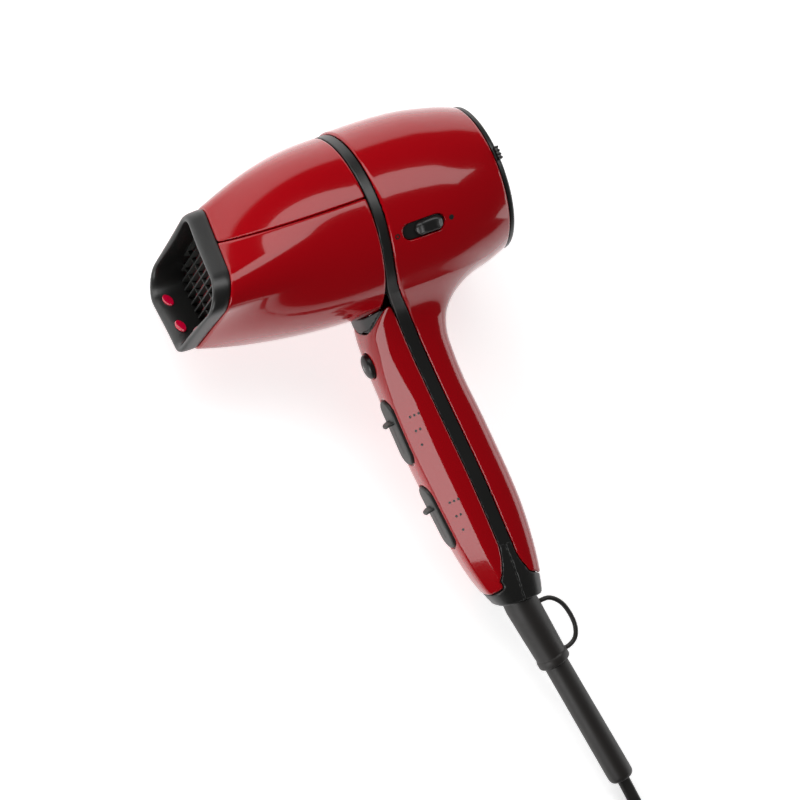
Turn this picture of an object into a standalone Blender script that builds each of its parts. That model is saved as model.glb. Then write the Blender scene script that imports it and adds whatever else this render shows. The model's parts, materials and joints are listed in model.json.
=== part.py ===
"""Hair dryer, lying on its right side, with its cord coiled beside it.

The dryer is drawn in its own axes, in millimetres: +x runs along the barrel to the nozzle, +y to its
left side and +z up, and the origin is on the barrel's axis, in the middle of the black band. The empty
"dryer_axes" lays it down on the floor (metres, +Z up) as it comes to rest: on the barrel, a corner of
the nozzle and the end of the cord sleeve. The cord, its coil and its plug are drawn on the floor.
"""

import math

import bmesh
import bpy
from mathutils import Matrix, Vector

MM = 0.001
GAP = 0.3  # between pieces that touch on the real dryer

# How the dryer lies: the handle drops by TILT, the nozzle by PITCH, and the barrel's centre is at REST.
TILT = math.radians(7.54)
PITCH = math.radians(-0.75)
REST = Vector((13.85, 135.05, 47.3))

# Barrel
BAND_BACK, BAND_FRONT = -3.2, 2.2
BAND_R = 46.2
FRONT_R = 46.5  # front barrel where it meets the band
REAR_R = 47.4  # rear body where it meets the band
WALL = 2.2
SHELL_FRONT = 83.7  # where the nozzle ring takes over, measured on the axis
MOUTH = 93.0  # the mouth's plane crosses the axis here
MOUTH_SLANT = 0.364  # the lower lip stands forward: millimetres forward for each millimetre down
MOUTH_HALF_WIDTH = 46.0
MOUTH_TOP, MOUTH_BOTTOM = 36.0, 30.6  # from the widest level to the top and bottom corners
MOUTH_DROP = 3.0  # the widest level lies this far below the axis
CORNER_R = 12.0
SEAM_Z = 18.0  # the front barrel's two shells part here
REAR_END = -72.0

# Rear body: (x, radius) down its outside
REAR_PROFILE = (
    (-3.5, 46.6),
    (-4.3, 47.2),
    (-6.0, REAR_R),
    (-18, 47.4),
    (-30, 47.0),
    (-42, 45.9),
    (-54, 43.6),
    (-64, 41.0),
    (REAR_END, 38.2),
)

# Handle sections: (z, front x, rear x, half thickness)
HANDLE = (
    (-34, 14.0, -54.0, 28.0),
    (-40, 12.5, -46.6, 25.0),
    (-46, 11.1, -42.0, 22.4),
    (-52, 10.4, -38.2, 20.6),
    (-58, 10.2, -35.2, 19.2),
    (-66, 9.9, -33.4, 18.2),
    (-78, 9.0, -33.8, 17.6),
    (-91, 7.4, -35.3, 17.3),
    (-110, 4.9, -38.9, 17.2),
    (-128, 2.1, -42.0, 17.2),
    (-145, -1.1, -44.8, 17.0),
    (-160, -4.1, -46.8, 16.5),
    (-177, -7.7, -47.8, 15.6),
    (-190, -11.4, -47.8, 14.4),
    (-200, -15.2, -47.2, 13.2),
    (-207, -18.6, -46.5, 12.0),
    (-211, -20.7, -45.9, 11.2),
)
HANDLE_POWER = 3.0  # of the superellipse that its sections follow
HANDLE_WALL = 2.4

# The black strip down the handle's sides: (z, centre x, half width)
STRIP = (
    (-24, -0.5, 2.7),
    (-30, -1.2, 2.8),
    (-36, -3.0, 2.9),
    (-46, -6.8, 3.2),
    (-55, -8.9, 3.5),
    (-65, -10.6, 3.5),
    (-100, -16.6, 3.5),
    (-139, -23.4, 3.5),
    (-178, -29.3, 3.5),
)
LOBE_TOP = ((-1.0, -39.5), (2.5, -44), (6, -49), (9, -54.5), (10.6, -58.5), (14, -61))
CAP_FRONT_EDGE = ((-26.0, -178), (-25.4, -187), (-22.8, -196), (-17.6, -203.5), (2, -207))
CAP_REAR_EDGE = ((-33.0, -178), (-34.2, -186), (-37.2, -193), (-41.5, -198.2), (-60, -203))

# Controls on the handle's front: z of the middle, z of the fin at rest
HEAT_Z, HEAT_FIN_Z = -109.0, -103.0
SPEED_Z, SPEED_FIN_Z = -157.0, -151.5
SWITCH_LENGTH, SWITCH_WIDTH, SWITCH_PROUD = 36.0, 13.0, 1.0
SWITCH_TRAVEL = 15.5
SCREW_LEVELS = (-96, -170)
COOL_Z = -72.0
COOL_LENGTH, COOL_WIDTH, COOL_PROUD = 13.0, 10.5, 3.2

# Lock slider on the rear body's left side
LOCK_X, LOCK_ANGLE = -21.4, math.radians(-6.0)
LOCK_SLOT_LENGTH, LOCK_SLOT_WIDTH = 23.4, 8.8
LOCK_KNOB_LENGTH, LOCK_KNOB_WIDTH = 15.4, 7.2
LOCK_TRAVEL = 5.5

# Inlet filter cover and its hinge on the right side
COVER_R, COVER_THICK = 37.8, 2.6
HINGE_X, HINGE_Y = -73.7, -39.5

# Cord sleeves: the axis leans back as it goes down
SLEEVE_TOP = Vector((-33.6, 0, -211.4))
SLEEVE_LEAN = math.radians(14.7)
SLEEVE_ONE, SLEEVE_TWO = 39.0, 72.0
SLEEVE_ONE_R, SLEEVE_TWO_R = 9.0, 6.75
LOOP_WIRE_R = 1.25
LOOP = (
    (-42, -216.4),
    (-50, -216.6),
    (-56.2, -222.5),
    (-59.2, -233),
    (-57.6, -240.5),
    (-52, -243.8),
    (-47, -242.8),
)

# Cord, on the floor, in millimetres of the floor's own axes
CORD_R = 3.4
COIL_AT = Vector((44, -245, 0))
COIL_MIDDLE_R, COIL_HALF_WIDTH, COIL_LOW, COIL_HIGH = 41.2, 8.9, 0.9, 15.2
TIE_THICK, TIE_WIDE, TIE_TURN = 0.6, 9.0, math.radians(100)
PLUG_AT = Vector((-62.8, -292, 13.2))  # the middle of the plug's front face
PLUG_LENGTH, PLUG_WIDTH, PLUG_HEIGHT = 44.0, 34.0, 26.0
BLADE_SPACING, BLADE_LENGTH = 12.7, 17.0
LEAD = (
    (75.7, -181.5, 6.2),
    (77.2, -187.2, 5.4),
    (78.8, -193.3, 4.5),
    (80.4, -199.4, 3.8),
    (82.2, -206.2, 3.5),
)
TAIL = ((16.5, -291.6, 12.0), (8, -291.8, 11.6), (0, -292, 12.6), (-8.2, -292, 13.2))


# ---- building blocks ----


def material(name, color, roughness):
    made = bpy.data.materials.new(name)
    made.use_nodes = True
    shader = made.node_tree.nodes["Principled BSDF"]
    shader.inputs["Base Color"].default_value = (*color, 1)
    shader.inputs["Roughness"].default_value = roughness
    return made


def metal(name, color, roughness):
    made = material(name, color, roughness)
    made.node_tree.nodes["Principled BSDF"].inputs["Metallic"].default_value = 1.0
    return made


def body(bm):
    """A working object from a bmesh in millimetres, its faces pointing out."""
    bmesh.ops.recalc_face_normals(bm, faces=bm.faces)
    bmesh.ops.scale(bm, vec=(MM, MM, MM), verts=bm.verts)
    mesh = bpy.data.meshes.new("working")
    bm.to_mesh(mesh)
    bm.free()
    made = bpy.data.objects.new("working", mesh)
    bpy.context.collection.objects.link(made)
    return made


def skin(rings, wrap=False):
    """The closed solid whose surface runs from ring to ring. With wrap, the last ring joins the first."""
    bm = bmesh.new()
    loops = [[bm.verts.new(p) for p in ring] for ring in rings]
    count = len(loops[0])
    pairs = list(zip(loops, loops[1:], strict=False))
    if wrap:
        pairs.append((loops[-1], loops[0]))
    else:
        bm.faces.new(loops[0])
        bm.faces.new(loops[-1])
    for a, b in pairs:
        for i in range(count):
            j = (i + 1) % count
            bm.faces.new((a[i], a[j], b[j], b[i]))
    return body(bm)


def circle(count):
    return [2 * math.pi * i / count for i in range(count)]


def turned(profile, frame=None, count=32, wrap=False):
    """A profile of (distance along, radius) turned about the frame's x axis."""
    frame = frame or Matrix()
    return skin(
        [[frame @ Vector((x, r * math.sin(a), r * math.cos(a))) for a in circle(count)] for x, r in profile],
        wrap,
    )


def tube(outer, inner, start, end, frame=None, count=32):
    return turned(((start, outer), (end, outer), (end, inner), (start, inner)), frame, count, wrap=True)


def prism(outline, low, high, frame=None):
    """A flat outline of (x, y) points, from low to high along the frame's z."""
    frame = frame or Matrix()
    return skin([[frame @ Vector((x, y, z)) for x, y in outline] for z in (low, high)])


def box(low, high, frame=None):
    x0, y0, z0 = low
    x1, y1, z1 = high
    return prism(((x0, y0), (x1, y0), (x1, y1), (x0, y1)), z0, z1, frame)


def stadium(length, width, count=8):
    """The outline of a slot with round ends, its length along x."""
    straight, r = (length - width) / 2, width / 2
    ends = []
    for side in (1, -1):
        for i in range(count + 1):
            a = -math.pi / 2 + math.pi * i / count
            ends.append((side * (straight + r * math.cos(a)), side * r * math.sin(a)))
    return ends


def oval(length, width, count=24):
    return [(length / 2 * math.cos(a), width / 2 * math.sin(a)) for a in circle(count)]


def layered(layers, frame=None):
    """A solid from (outline, height) layers along the frame's z."""
    frame = frame or Matrix()
    return skin([[frame @ Vector((x, y, z)) for x, y in outline] for outline, z in layers])


def wire(points, radius, sides=8):
    """A round wire through the points."""
    points = [Vector(p) for p in points]
    rings, side = [], None
    for i, p in enumerate(points):
        along = (points[min(i + 1, len(points) - 1)] - points[max(i - 1, 0)]).normalized()
        side = along.orthogonal() if side is None else side - side.dot(along) * along
        side.normalize()
        up = along.cross(side)
        rings.append([p + radius * (math.cos(a) * side + math.sin(a) * up) for a in circle(sides)])
    return skin(rings)


def combine(base, tool, operation):
    """The base joined with the tool, cut by it or kept inside it. The tool is used up."""
    change = base.modifiers.new("combine", "BOOLEAN")
    change.operation = operation
    change.object = tool
    bpy.context.view_layer.update()
    evaluated = base.evaluated_get(bpy.context.evaluated_depsgraph_get())
    mesh = bpy.data.meshes.new_from_object(evaluated)
    base.modifiers.clear()
    base.data = mesh
    bpy.data.objects.remove(tool)
    return base


def joined(base, *tools):
    for tool in tools:
        combine(base, tool, "UNION")
    return base


def cut(base, *tools):
    for tool in tools:
        combine(base, tool, "DIFFERENCE")
    return base


def kept_inside(base, tool):
    return combine(base, tool, "INTERSECT")


def piece(name, made, finish, parent, origin=None):
    """Names a working object, gives it its material and puts its origin where it turns or slides."""
    made.name = made.data.name = name
    made.data.materials.clear()
    made.data.materials.append(finish)
    made.data.shade_smooth()
    made.data.set_sharp_from_angle(angle=math.radians(35))
    if origin is not None:
        place = Vector(origin) * MM
        made.data.transform(Matrix.Translation(-place))
        made.location = place
    made.parent = parent
    return made


def axes(origin, x, z):
    """A frame at origin with its x axis along x and its z axis as near z as it can be."""
    x = Vector(x).normalized()
    y = Vector(z).cross(x).normalized()
    z = x.cross(y)
    made = Matrix((x, y, z)).transposed().to_4x4()
    made.translation = Vector(origin)
    return made


def between(table, at):
    """A table's row, linearly between its entries, at a value of its first column."""
    for low, high in zip(table, table[1:], strict=False):
        if low[0] >= at >= high[0]:
            t = (low[0] - at) / (low[0] - high[0])
            return [a + t * (b - a) for a, b in zip(low, high, strict=True)]
    raise ValueError(at)


# ---- the dryer's own surfaces ----


def diamond(angle, half_width, half_height):
    """The distance from the middle to a rhombus with round corners, at an angle from straight up."""
    a, b = half_width - CORNER_R, half_height - CORNER_R
    s, c = abs(math.sin(angle)), abs(math.cos(angle))
    k = math.hypot(1 / a, 1 / b)
    edge = (1 + CORNER_R * k) / (s / a + c / b)
    if edge * s > a + CORNER_R / (a * k):
        return a * s + math.sqrt(CORNER_R**2 - (a * c) ** 2)
    if edge * c > b + CORNER_R / (b * k):
        return b * c + math.sqrt(CORNER_R**2 - (b * s) ** 2)
    return edge


def slant_at(x):
    return MOUTH_SLANT * min(max((x - BAND_FRONT) / (SHELL_FRONT - BAND_FRONT), 0), 1) ** 1.5


def barrel_ring(x, inset, count=32):
    """The front barrel's section: round at the band, a slanted diamond at the mouth."""
    share = min(max((x - 8) / (SHELL_FRONT - 8), 0), 1) ** 2
    slant = slant_at(x)
    ring = []
    for a in circle(count):
        half_height = MOUTH_TOP if math.cos(a) > 0 else MOUTH_BOTTOM
        r = FRONT_R + share * (diamond(a, MOUTH_HALF_WIDTH, half_height) - FRONT_R) - inset
        z = r * math.cos(a) - share * MOUTH_DROP
        ring.append((x - slant * z, r * math.sin(a), z))
    return ring


def handle_section(z, inset, count=24):
    _, front, rear, half = between(HANDLE, z)
    middle, deep, wide = (front + rear) / 2, (front - rear) / 2 - inset, half - inset
    ring = []
    for a in circle(count):
        c, s = math.cos(a), math.sin(a)
        x = middle + deep * math.copysign(abs(c) ** (2 / HANDLE_POWER), c)
        ring.append((x, wide * math.copysign(abs(s) ** (2 / HANDLE_POWER), s), z))
    return ring


def handle_solid(inset, top=HANDLE[0][0], bottom=HANDLE[-1][0]):
    levels = [top] + [row[0] for row in HANDLE if bottom < row[0] < top] + [bottom]
    return skin([handle_section(z, inset) for z in levels])


def handle_skin(inset=0.0, bottom=HANDLE[-1][0]):
    """The handle's hollow outer wall, with its floor left in at the bottom."""
    return cut(handle_solid(inset, bottom=bottom), handle_solid(HANDLE_WALL + inset, bottom=-207))


def side_region(outline):
    """Everything whose (x, z) lies inside the outline, from side to side."""
    turn = Matrix(((1, 0, 0, 0), (0, 0, 1, 0), (0, 1, 0, 0), (0, 0, 0, 1)))
    return prism(outline, -60, 60, turn)


def strip_edge(side, gap=0.0):
    return [(x + side * (half + gap), z) for z, x, half in STRIP]


def front_of_handle(z):
    """A frame on the handle's front face: x down the handle, z straight out of it."""
    low, high = between(HANDLE, z - 6)[1], between(HANDLE, z + 6)[1]
    down = Vector((low - high, 0, -12)).normalized()
    out = Vector((-down.z, 0, down.x))
    return axes((between(HANDLE, z)[1], 0, z), down, out)


# ---- sub-parts ----


def front_barrel(finish, parent):
    stations = (2.5, 16, 30, 42, 53, 63, 73, SHELL_FRONT)
    rings = [barrel_ring(x, 0) for x in stations] + [barrel_ring(x, WALL) for x in reversed(stations)]
    far = 120
    for name, low, high in (
        ("front_barrel_upper", SEAM_Z + GAP / 2, far),
        ("front_barrel_lower", -far, SEAM_Z - GAP / 2),
    ):
        half = kept_inside(skin(rings, wrap=True), box((0, -far, low), (far, far, high)))
        piece(name, half, finish, parent)


def nozzle(finish, lens, parent):
    profile = (
        (SHELL_FRONT + GAP, 0.7),
        (MOUTH - 2.2, 1.0),
        (MOUTH - 0.6, 1.8),
        (MOUTH, 3.0),
        (MOUTH - 0.6, 4.2),
        (MOUTH - 3, 5.0),
        (76, 5.4),
        (76, 3.6),
        (SHELL_FRONT + GAP, 3.0),
    )
    piece("nozzle_ring", skin([barrel_ring(x, d) for x, d in profile], wrap=True), finish, parent)
    for name, depth, y, z in (("low", 5.42, 11.3, -22.41), ("side", 6.55, 33.33, -12.37)):
        for side, label in ((1, "left"), (-1, "right")):
            inward = Vector((0, -side * 0.48, 0.88))
            x = MOUTH - depth - MOUTH_SLANT * z
            frame = axes((x, side * y, z), (1, 0, 0), inward)
            shape = layered(((oval(4.6, 9.0), 0), (oval(4.6, 9.0), 0.4), (oval(3.6, 7.6), 0.9)), frame)
            piece(f"infrared_lens_{name}_{label}", shape, lens, parent)


def lattice(step, bar, across, up, thick, frame):
    """A flat lattice of square holes, step apart, with bars this wide between them."""

    def lines(count):
        middles = [i * step / 2 for i in range(-2 * count - 1, 2 * count + 2, 2)]
        return [at + side * bar / 2 for at in middles for side in (-1, 1)]

    xs, ys = lines(across), lines(up)
    bm = bmesh.new()
    points = [[bm.verts.new(frame @ Vector((x, y, 0))) for y in ys] for x in xs]
    for i in range(len(xs) - 1):
        for j in range(len(ys) - 1):
            if i % 2 == 0 or j % 2 == 0:
                bm.faces.new((points[i][j], points[i + 1][j], points[i + 1][j + 1], points[i][j + 1]))
    grown = bmesh.ops.extrude_face_region(bm, geom=list(bm.faces))
    moved = [v for v in grown["geom"] if isinstance(v, bmesh.types.BMVert)]
    bmesh.ops.translate(bm, vec=frame.to_3x3() @ Vector((0, 0, thick)), verts=moved)
    return body(bm)


def grille(finish, parent):
    """A slanted lattice deep in the mouth."""
    x, thick = 70.5, 2.0
    frame = axes((x, 0, 0), (0, 1, 0), (1, 0, slant_at(x)))
    plate = lattice(11.0, 1.4, 4, 3, thick, frame)
    outline = skin([barrel_ring(x - 12, WALL + 3 * GAP), barrel_ring(x + 5, WALL + 3 * GAP)])
    rim = skin([barrel_ring(*row) for row in ((69, 3.0), (73, 3.0), (73, 4.9), (69, 4.9))], wrap=True)
    piece("outlet_grille", joined(rim, kept_inside(plate, outline)), finish, parent)


def band(finish, parent):
    ring = turned(
        (
            (BAND_FRONT, BAND_R - 0.6),
            (BAND_FRONT - 0.6, BAND_R),
            (BAND_BACK, BAND_R),
            (BAND_BACK, BAND_R - 2.6),
            (BAND_FRONT, BAND_R - 2.6),
        ),
        count=48,
        wrap=True,
    )
    region = side_region(strip_edge(1) + strip_edge(-1)[::-1])
    strip = kept_inside(handle_skin(0.3), region)
    cut(strip, turned(((-40, BAND_R - 2.5), (40, BAND_R - 2.5)), count=48))
    piece("middle_band", joined(ring, strip), finish, parent)


def rear_body(finish, parent):
    outer = turned(REAR_PROFILE, count=40)
    cap = [(x - GAP, z) for x, z in CAP_REAR_EDGE]
    behind = side_region([(-1, -30), *strip_edge(-1, GAP)[2:], *cap, (-80, -203), (-80, -30)])
    joined(outer, kept_inside(handle_solid(0), behind))
    bore = ((-2, REAR_R - 0.4), *REAR_PROFILE[2:], (REAR_END - 2, 38.2))
    hollow = turned([(x, r - WALL) for x, r in bore], count=40)
    cut(outer, hollow, handle_solid(HANDLE_WALL, top=-38, bottom=-207))
    gap_region = [(0, -30), *strip_edge(-1, GAP)[2:5], (20, -60), (20, -30)]
    cut(outer, side_region(gap_region))
    cut(outer, prism(stadium(LOCK_SLOT_LENGTH, LOCK_SLOT_WIDTH), -8, 8, lock_frame()))
    for z in SCREW_LEVELS:
        cut(outer, turned(((-6, 2.5), (8, 2.5)), screw_frame(z), 16))
    piece("rear_body_shell", outer, finish, parent)


def screw_frame(z):
    """A frame on the handle's rear face, its x axis pointing into the handle."""
    return axes((between(HANDLE, z)[2], 0, z), (1, 0, 0.15), (0, 1, 0))


def screws(finish, parent):
    for number, z in enumerate(SCREW_LEVELS, 1):
        frame = screw_frame(z)
        shape = turned(((0.6, 1.4), (1.2, 2.1), (2.4, 2.1), (3.4, 1.2), (13, 1.2), (14, 0.4)), frame, 12)
        piece(f"handle_screw_{number}", shape, finish, parent)


def handle_front(finish, parent):
    edge = strip_edge(1, GAP)
    cap = [(x + GAP, z + GAP) for x, z in CAP_FRONT_EDGE]
    top = [(x, z) for x, z in reversed(LOBE_TOP)]
    region = [*edge[3:], *cap[1:], (60, -207), (60, -61), *top]
    shell = kept_inside(handle_skin(), side_region(region))
    cut(shell, turned(((-60, FRONT_R + GAP), (60, FRONT_R + GAP)), count=48))
    for z, fin_z in ((HEAT_Z, HEAT_FIN_Z), (SPEED_Z, SPEED_FIN_Z)):
        frame = front_of_handle(z)
        cut(shell, prism(stadium(SWITCH_LENGTH + 0.8, SWITCH_WIDTH + 0.8), -1.2, 9, frame))
        middle = fin_place(z, fin_z) + SWITCH_TRAVEL / 2
        cut(shell, prism(stadium(26, 9.0), -9, 9, frame @ Matrix.Translation((middle, 0, 0))))
    cut(shell, prism(oval(COOL_LENGTH + 0.8, COOL_WIDTH + 0.8), -9, 9, front_of_handle(COOL_Z)))
    piece("handle_front_shell", shell, finish, parent)


def neck(finish, parent):
    """The black collar in the wedge between the barrel and the top of the handle's front shell."""
    edge = strip_edge(1, GAP)
    top = [(x + GAP, z + GAP) for x, z in LOBE_TOP]
    region = [edge[2], *top[:1], *top[1:], (40, -58), (40, -30), (edge[2][0], -30)]
    collar = kept_inside(handle_skin(0.6), side_region(region))
    cut(collar, turned(((-60, FRONT_R + GAP), (60, FRONT_R + GAP)), count=48))
    piece("neck_collar", collar, finish, parent)


def end_cap(finish, parent):
    region = [
        *((x - GAP, z) for x, z in CAP_FRONT_EDGE[::-1]),
        *((x + GAP, z) for x, z in CAP_REAR_EDGE),
    ]
    top = -178 - GAP
    outline = [(x, min(z, top)) for x, z in region] + [(-60, -215), (2, -215)]
    cap = kept_inside(handle_skin(0.3), side_region(outline))
    cut(cap, turned(((-4, 5.0), (12, 5.0)), sleeve_frame(0), 16))
    piece("handle_end_cap", cap, finish, parent)


def fin_place(z, fin_z):
    """How far down the handle from the middle of its switch a fin stands at rest."""
    return (fin_z - z) / front_of_handle(z).to_3x3().col[0].z


def controls(finishes, parent):
    dark, black, brass = finishes
    for name, z, fin_z in (("heat", HEAT_Z, HEAT_FIN_Z), ("speed", SPEED_Z, SPEED_FIN_Z)):
        frame = front_of_handle(z)
        cover = layered(
            (
                (stadium(SWITCH_LENGTH, SWITCH_WIDTH), -0.9),
                (stadium(SWITCH_LENGTH, SWITCH_WIDTH), SWITCH_PROUD - 0.6),
                (stadium(SWITCH_LENGTH - 1.2, SWITCH_WIDTH - 1.2), SWITCH_PROUD),
            ),
            frame,
        )
        at = fin_place(z, fin_z)
        slot_place = frame @ Matrix.Translation((at + SWITCH_TRAVEL / 2, 0, 0))
        cut(cover, prism(stadium(SWITCH_TRAVEL + 5, 2.4), -3, 4, slot_place))
        piece(f"{name}_switch_cover", cover, dark, parent)
        fin = frame @ Matrix.Translation((at, 0, 0))
        top = SWITCH_PROUD + 0.3
        blade = ((stadium(8, 2.0), top), (stadium(8, 1.8), top + 2), (stadium(5.5, 1.2), top + 4))
        slider = layered(blade, fin @ Matrix.Rotation(math.pi / 2, 4, "Z"))
        joined(slider, box((-1.2, -0.9, -3.0), (1.2, 0.9, top + 0.5), fin))
        joined(slider, box((-2.4, -3.4, -4.6), (2.4, 3.4, -2.8), fin))
        piece(f"{name}_slider", slider, dark, parent, fin.translation)
        switch = box((-13, -5.5, -13.5), (13, 5.5, -5.0), frame)
        piece(f"{name}_switch_body", switch, black, parent)
    frame = front_of_handle(COOL_Z)
    button = layered(
        (
            (oval(COOL_LENGTH, COOL_WIDTH), -3.2),
            (oval(COOL_LENGTH, COOL_WIDTH), 1.0),
            (oval(COOL_LENGTH - 2.4, COOL_WIDTH - 2.2), 2.1),
            (oval(COOL_LENGTH - 7, COOL_WIDTH - 6), COOL_PROUD),
        ),
        frame,
    )
    piece("cool_shot_button", button, black, parent, frame.translation)
    turns, steps = 4, 9
    coil = []
    for i in range(turns * steps + 1):
        a = 2 * math.pi * i / steps
        coil.append(frame @ Vector((2.6 * math.cos(a), 2.6 * math.sin(a), -5.7 - 3.9 * i / (turns * steps))))
    piece("cool_shot_spring", wire(coil, 0.3, 4), brass, parent)
    piece("cool_shot_switch", box((-5, -4.5, -15), (5, 4.5, -10.2), frame), black, parent)


def board(finish, parent):
    top, bottom = Vector((-8.5, 0, -72)), Vector((-27.5, 0, -184))
    frame = axes(top, bottom - top, (1, 0, 0))
    plate = box((0, -9.5, -0.8), ((bottom - top).length, 9.5, 0.8), frame)
    piece("control_board", plate, finish, parent)
    piece("ion_generator", box((6, -8, -41.2), (26, 8, -37.4)), finish, parent)


def lock_frame():
    """A frame on the rear body's left side: x forward along the barrel, z straight out."""
    out = Vector((0, math.cos(LOCK_ANGLE), math.sin(LOCK_ANGLE)))
    return axes((LOCK_X, *(out * REAR_R)[1:]), (1, 0, 0), out)


def lock(finish, parent):
    frame = lock_frame()
    plate = prism(stadium(LOCK_SLOT_LENGTH - 0.7, LOCK_SLOT_WIDTH - 0.7), -2.6, -1.4, frame)
    piece("lock_slot_plate", plate, finish, parent)
    rear = frame @ Matrix.Translation((-(LOCK_SLOT_LENGTH - LOCK_KNOB_LENGTH) / 2 + 1.1, 0, 0))
    knob = prism(stadium(LOCK_KNOB_LENGTH, LOCK_KNOB_WIDTH), -1.0, 0.9, rear)
    for x in (-5.4, 4.0):
        joined(knob, box((x, -3.0, 0.5), (x + 1.4, 3.0, 1.7), rear))
    piece("lock_slider", knob, finish, parent, rear.translation)


def filter_cover(finish, mesh_finish, metal_finish, parent):
    front, back = REAR_END - GAP, REAR_END - GAP - COVER_THICK
    ring = turned(
        ((front, COVER_R), (back + 0.8, COVER_R), (back, COVER_R - 1.0), (back, 32.0), (front, 32.0)),
        wrap=True,
        count=40,
    )
    hub = turned(((back + 0.4, 7.0), (front, 7.0)), count=16)
    joined(ring, tube(20.8, 19.2, back + 0.4, front, count=24))
    joined(ring, hub)
    spokes = 6
    for i in range(spokes):
        turn = Matrix.Rotation(2 * math.pi * (i + 0.5) / spokes, 4, "X")
        joined(ring, box((back + 0.45, -0.8, 5.0), (front - 0.05, 0.8, 33.0), turn))
    knuckle = axes((HINGE_X, HINGE_Y, -4), (0, 0, 1), (1, 0, 0))
    joined(ring, box((-74.3, HINGE_Y + 1.3, -4), (-73.1, -36.5, 4)))
    joined(ring, tube(1.8, 1.2, 0, 8, knuckle, 16))
    piece("filter_cover", ring, finish, parent, (HINGE_X, HINGE_Y, 0))
    screen = turned(((front + 1.4, 34.6), (front + 0.8, 34.6)), count=32)
    piece("filter_screen", screen, mesh_finish, parent, (HINGE_X, HINGE_Y, 0))
    a = math.radians(24)
    grip = axes((-74.0, 0, 0), (0, math.cos(a), math.sin(a)), (-1, 0, 0))
    tab = box((COVER_R + GAP, -3.5, -1.0), (COVER_R + 2.6, 3.5, 1.2), grip)
    piece("filter_finger_tab", tab, finish, parent, (HINGE_X, HINGE_Y, 0))
    pin = turned(((-6.6, 0.9), (6.6, 0.9)), axes((HINGE_X, HINGE_Y, 0), (0, 0, 1), (1, 0, 0)), 16)
    for z in (-6.6, 4.4):
        joined(pin, box((-74.9, HINGE_Y - 1.2, z), (-72.3, HINGE_Y + 1.2, z + 2.2)))
    piece("filter_hinge_pin", pin, metal_finish, parent)


def fan(black, steel, parent):
    piece("fan_shroud", tube(40.2, 38.8, -52, -29, count=40), black, parent)
    hub = turned(((-48, 10), (-46, 14), (-35, 15)), count=24)
    cut(hub, turned(((-60, 1.9), (-20, 1.9)), count=12))
    blades = 7
    for i in range(blades):
        spin = Matrix.Rotation(2 * math.pi * i / blades, 4, "X")
        pitch = spin @ Matrix.Rotation(math.radians(38), 4, "Z")
        place = spin @ Matrix.Translation((-41, 0, 0)) @ spin.inverted() @ pitch
        joined(hub, box((-0.8, -9, 13), (0.8, 9, 37.2), place))
    piece("fan_impeller", hub, black, parent, (-41, 0, 0))
    piece("motor_shaft", turned(((-50, 1.6), (-4, 1.6)), count=12), steel, parent, (-41, 0, 0))
    motor = turned(((-31, 12), (-29.5, 14.5), (-7, 14.5), (-5.5, 12)), count=24)
    cut(motor, turned(((-60, 2.2), (20, 2.2)), count=12))
    piece("motor", motor, steel, parent)


def motor_mount(black, parent):
    """The cup that holds the motor, with the vanes that straighten the fan's air."""
    cup = tube(16.2, 14.9, -27, -8, count=24)
    vanes = 5
    for i in range(vanes):
        turn = Matrix.Rotation(2 * math.pi * (i + 0.3) / vanes, 4, "X")
        joined(cup, box((-26, -0.8, 15.6), (-12, 0.8, 38.9), turn))
    joined(cup, tube(40.2, 38.6, -28.6, -10, count=40))
    piece("motor_mount", cup, black, parent)


def heater(mica, wire_finish, steel, parent):
    piece("heater_liner", tube(35.4, 34.6, 4, 47, count=32), mica, parent)
    piece("mica_plate_upright", box((6, -0.4, -30), (45, 0.4, 30)), mica, parent)
    for side, name in ((1, "left"), (-1, "right")):
        low, high = sorted((side * 0.7, side * 30))
        piece(f"mica_plate_{name}", box((6, low, -0.4), (45, high, 0.4)), mica, parent)
    turns, steps, radius = 4, 14, 31.6
    helix = []
    for i in range(turns * steps + 1):
        a = 2 * math.pi * i / steps
        helix.append((10 + 32 * i / (turns * steps), radius * math.sin(a), radius * math.cos(a)))
    piece("heating_coil", wire(helix, 0.8, 4), wire_finish, parent)
    cutoff = turned(((9, 3.4), (9.6, 4.0), (13, 4.0), (13.6, 3.4)), Matrix.Translation((0, 7, 7)), 16)
    piece("thermal_cutoff", cutoff, steel, parent)


def sleeve_frame(along):
    """A frame on the sleeves' axis, this far down it, its x axis pointing on down."""
    down = Vector((-math.sin(SLEEVE_LEAN), 0, -math.cos(SLEEVE_LEAN)))
    return axes(SLEEVE_TOP + down * along, down, (0, 1, 0))


def sleeves(finish, parent):
    r = SLEEVE_ONE_R
    first = [[(SLEEVE_TOP.x + r * math.cos(a), r * math.sin(a), SLEEVE_TOP.z) for a in circle(24)]]
    for along, r in ((4, 9.0), (20, 8.6), (34.5, 8.1), (35, 8.5), (38.4, 8.5), (SLEEVE_ONE, 7.8)):
        frame = sleeve_frame(along)
        first.append([frame @ Vector((0, -r * math.sin(a), -r * math.cos(a))) for a in circle(24)])
    first[0] = aligned(first[0], first[1])
    loop = wire([(x, 0, z) for x, z in smooth_line(LOOP, 3)], LOOP_WIRE_R, 8)
    piece("strain_relief_sleeve", joined(skin(first), loop), finish, parent)
    start, end = SLEEVE_ONE + GAP, SLEEVE_ONE + SLEEVE_TWO
    profile = ((start, 6.4), (end - 4, SLEEVE_TWO_R), (end - 1.6, 6.2), (end, 4.6))
    piece("cord_sleeve", turned(profile, sleeve_frame(0), 24), finish, parent)


def aligned(ring, other):
    """The ring's points turned, and run the other way if need be, so that they face the other ring's."""
    count = len(ring)
    best = None
    for run in (ring, ring[::-1]):
        for start in range(count):
            turned_ring = run[start:] + run[:start]
            far = sum((Vector(a) - Vector(b)).length for a, b in zip(turned_ring, other, strict=True))
            if best is None or far < best[0]:
                best = (far, turned_ring)
    return best[1]


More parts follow.
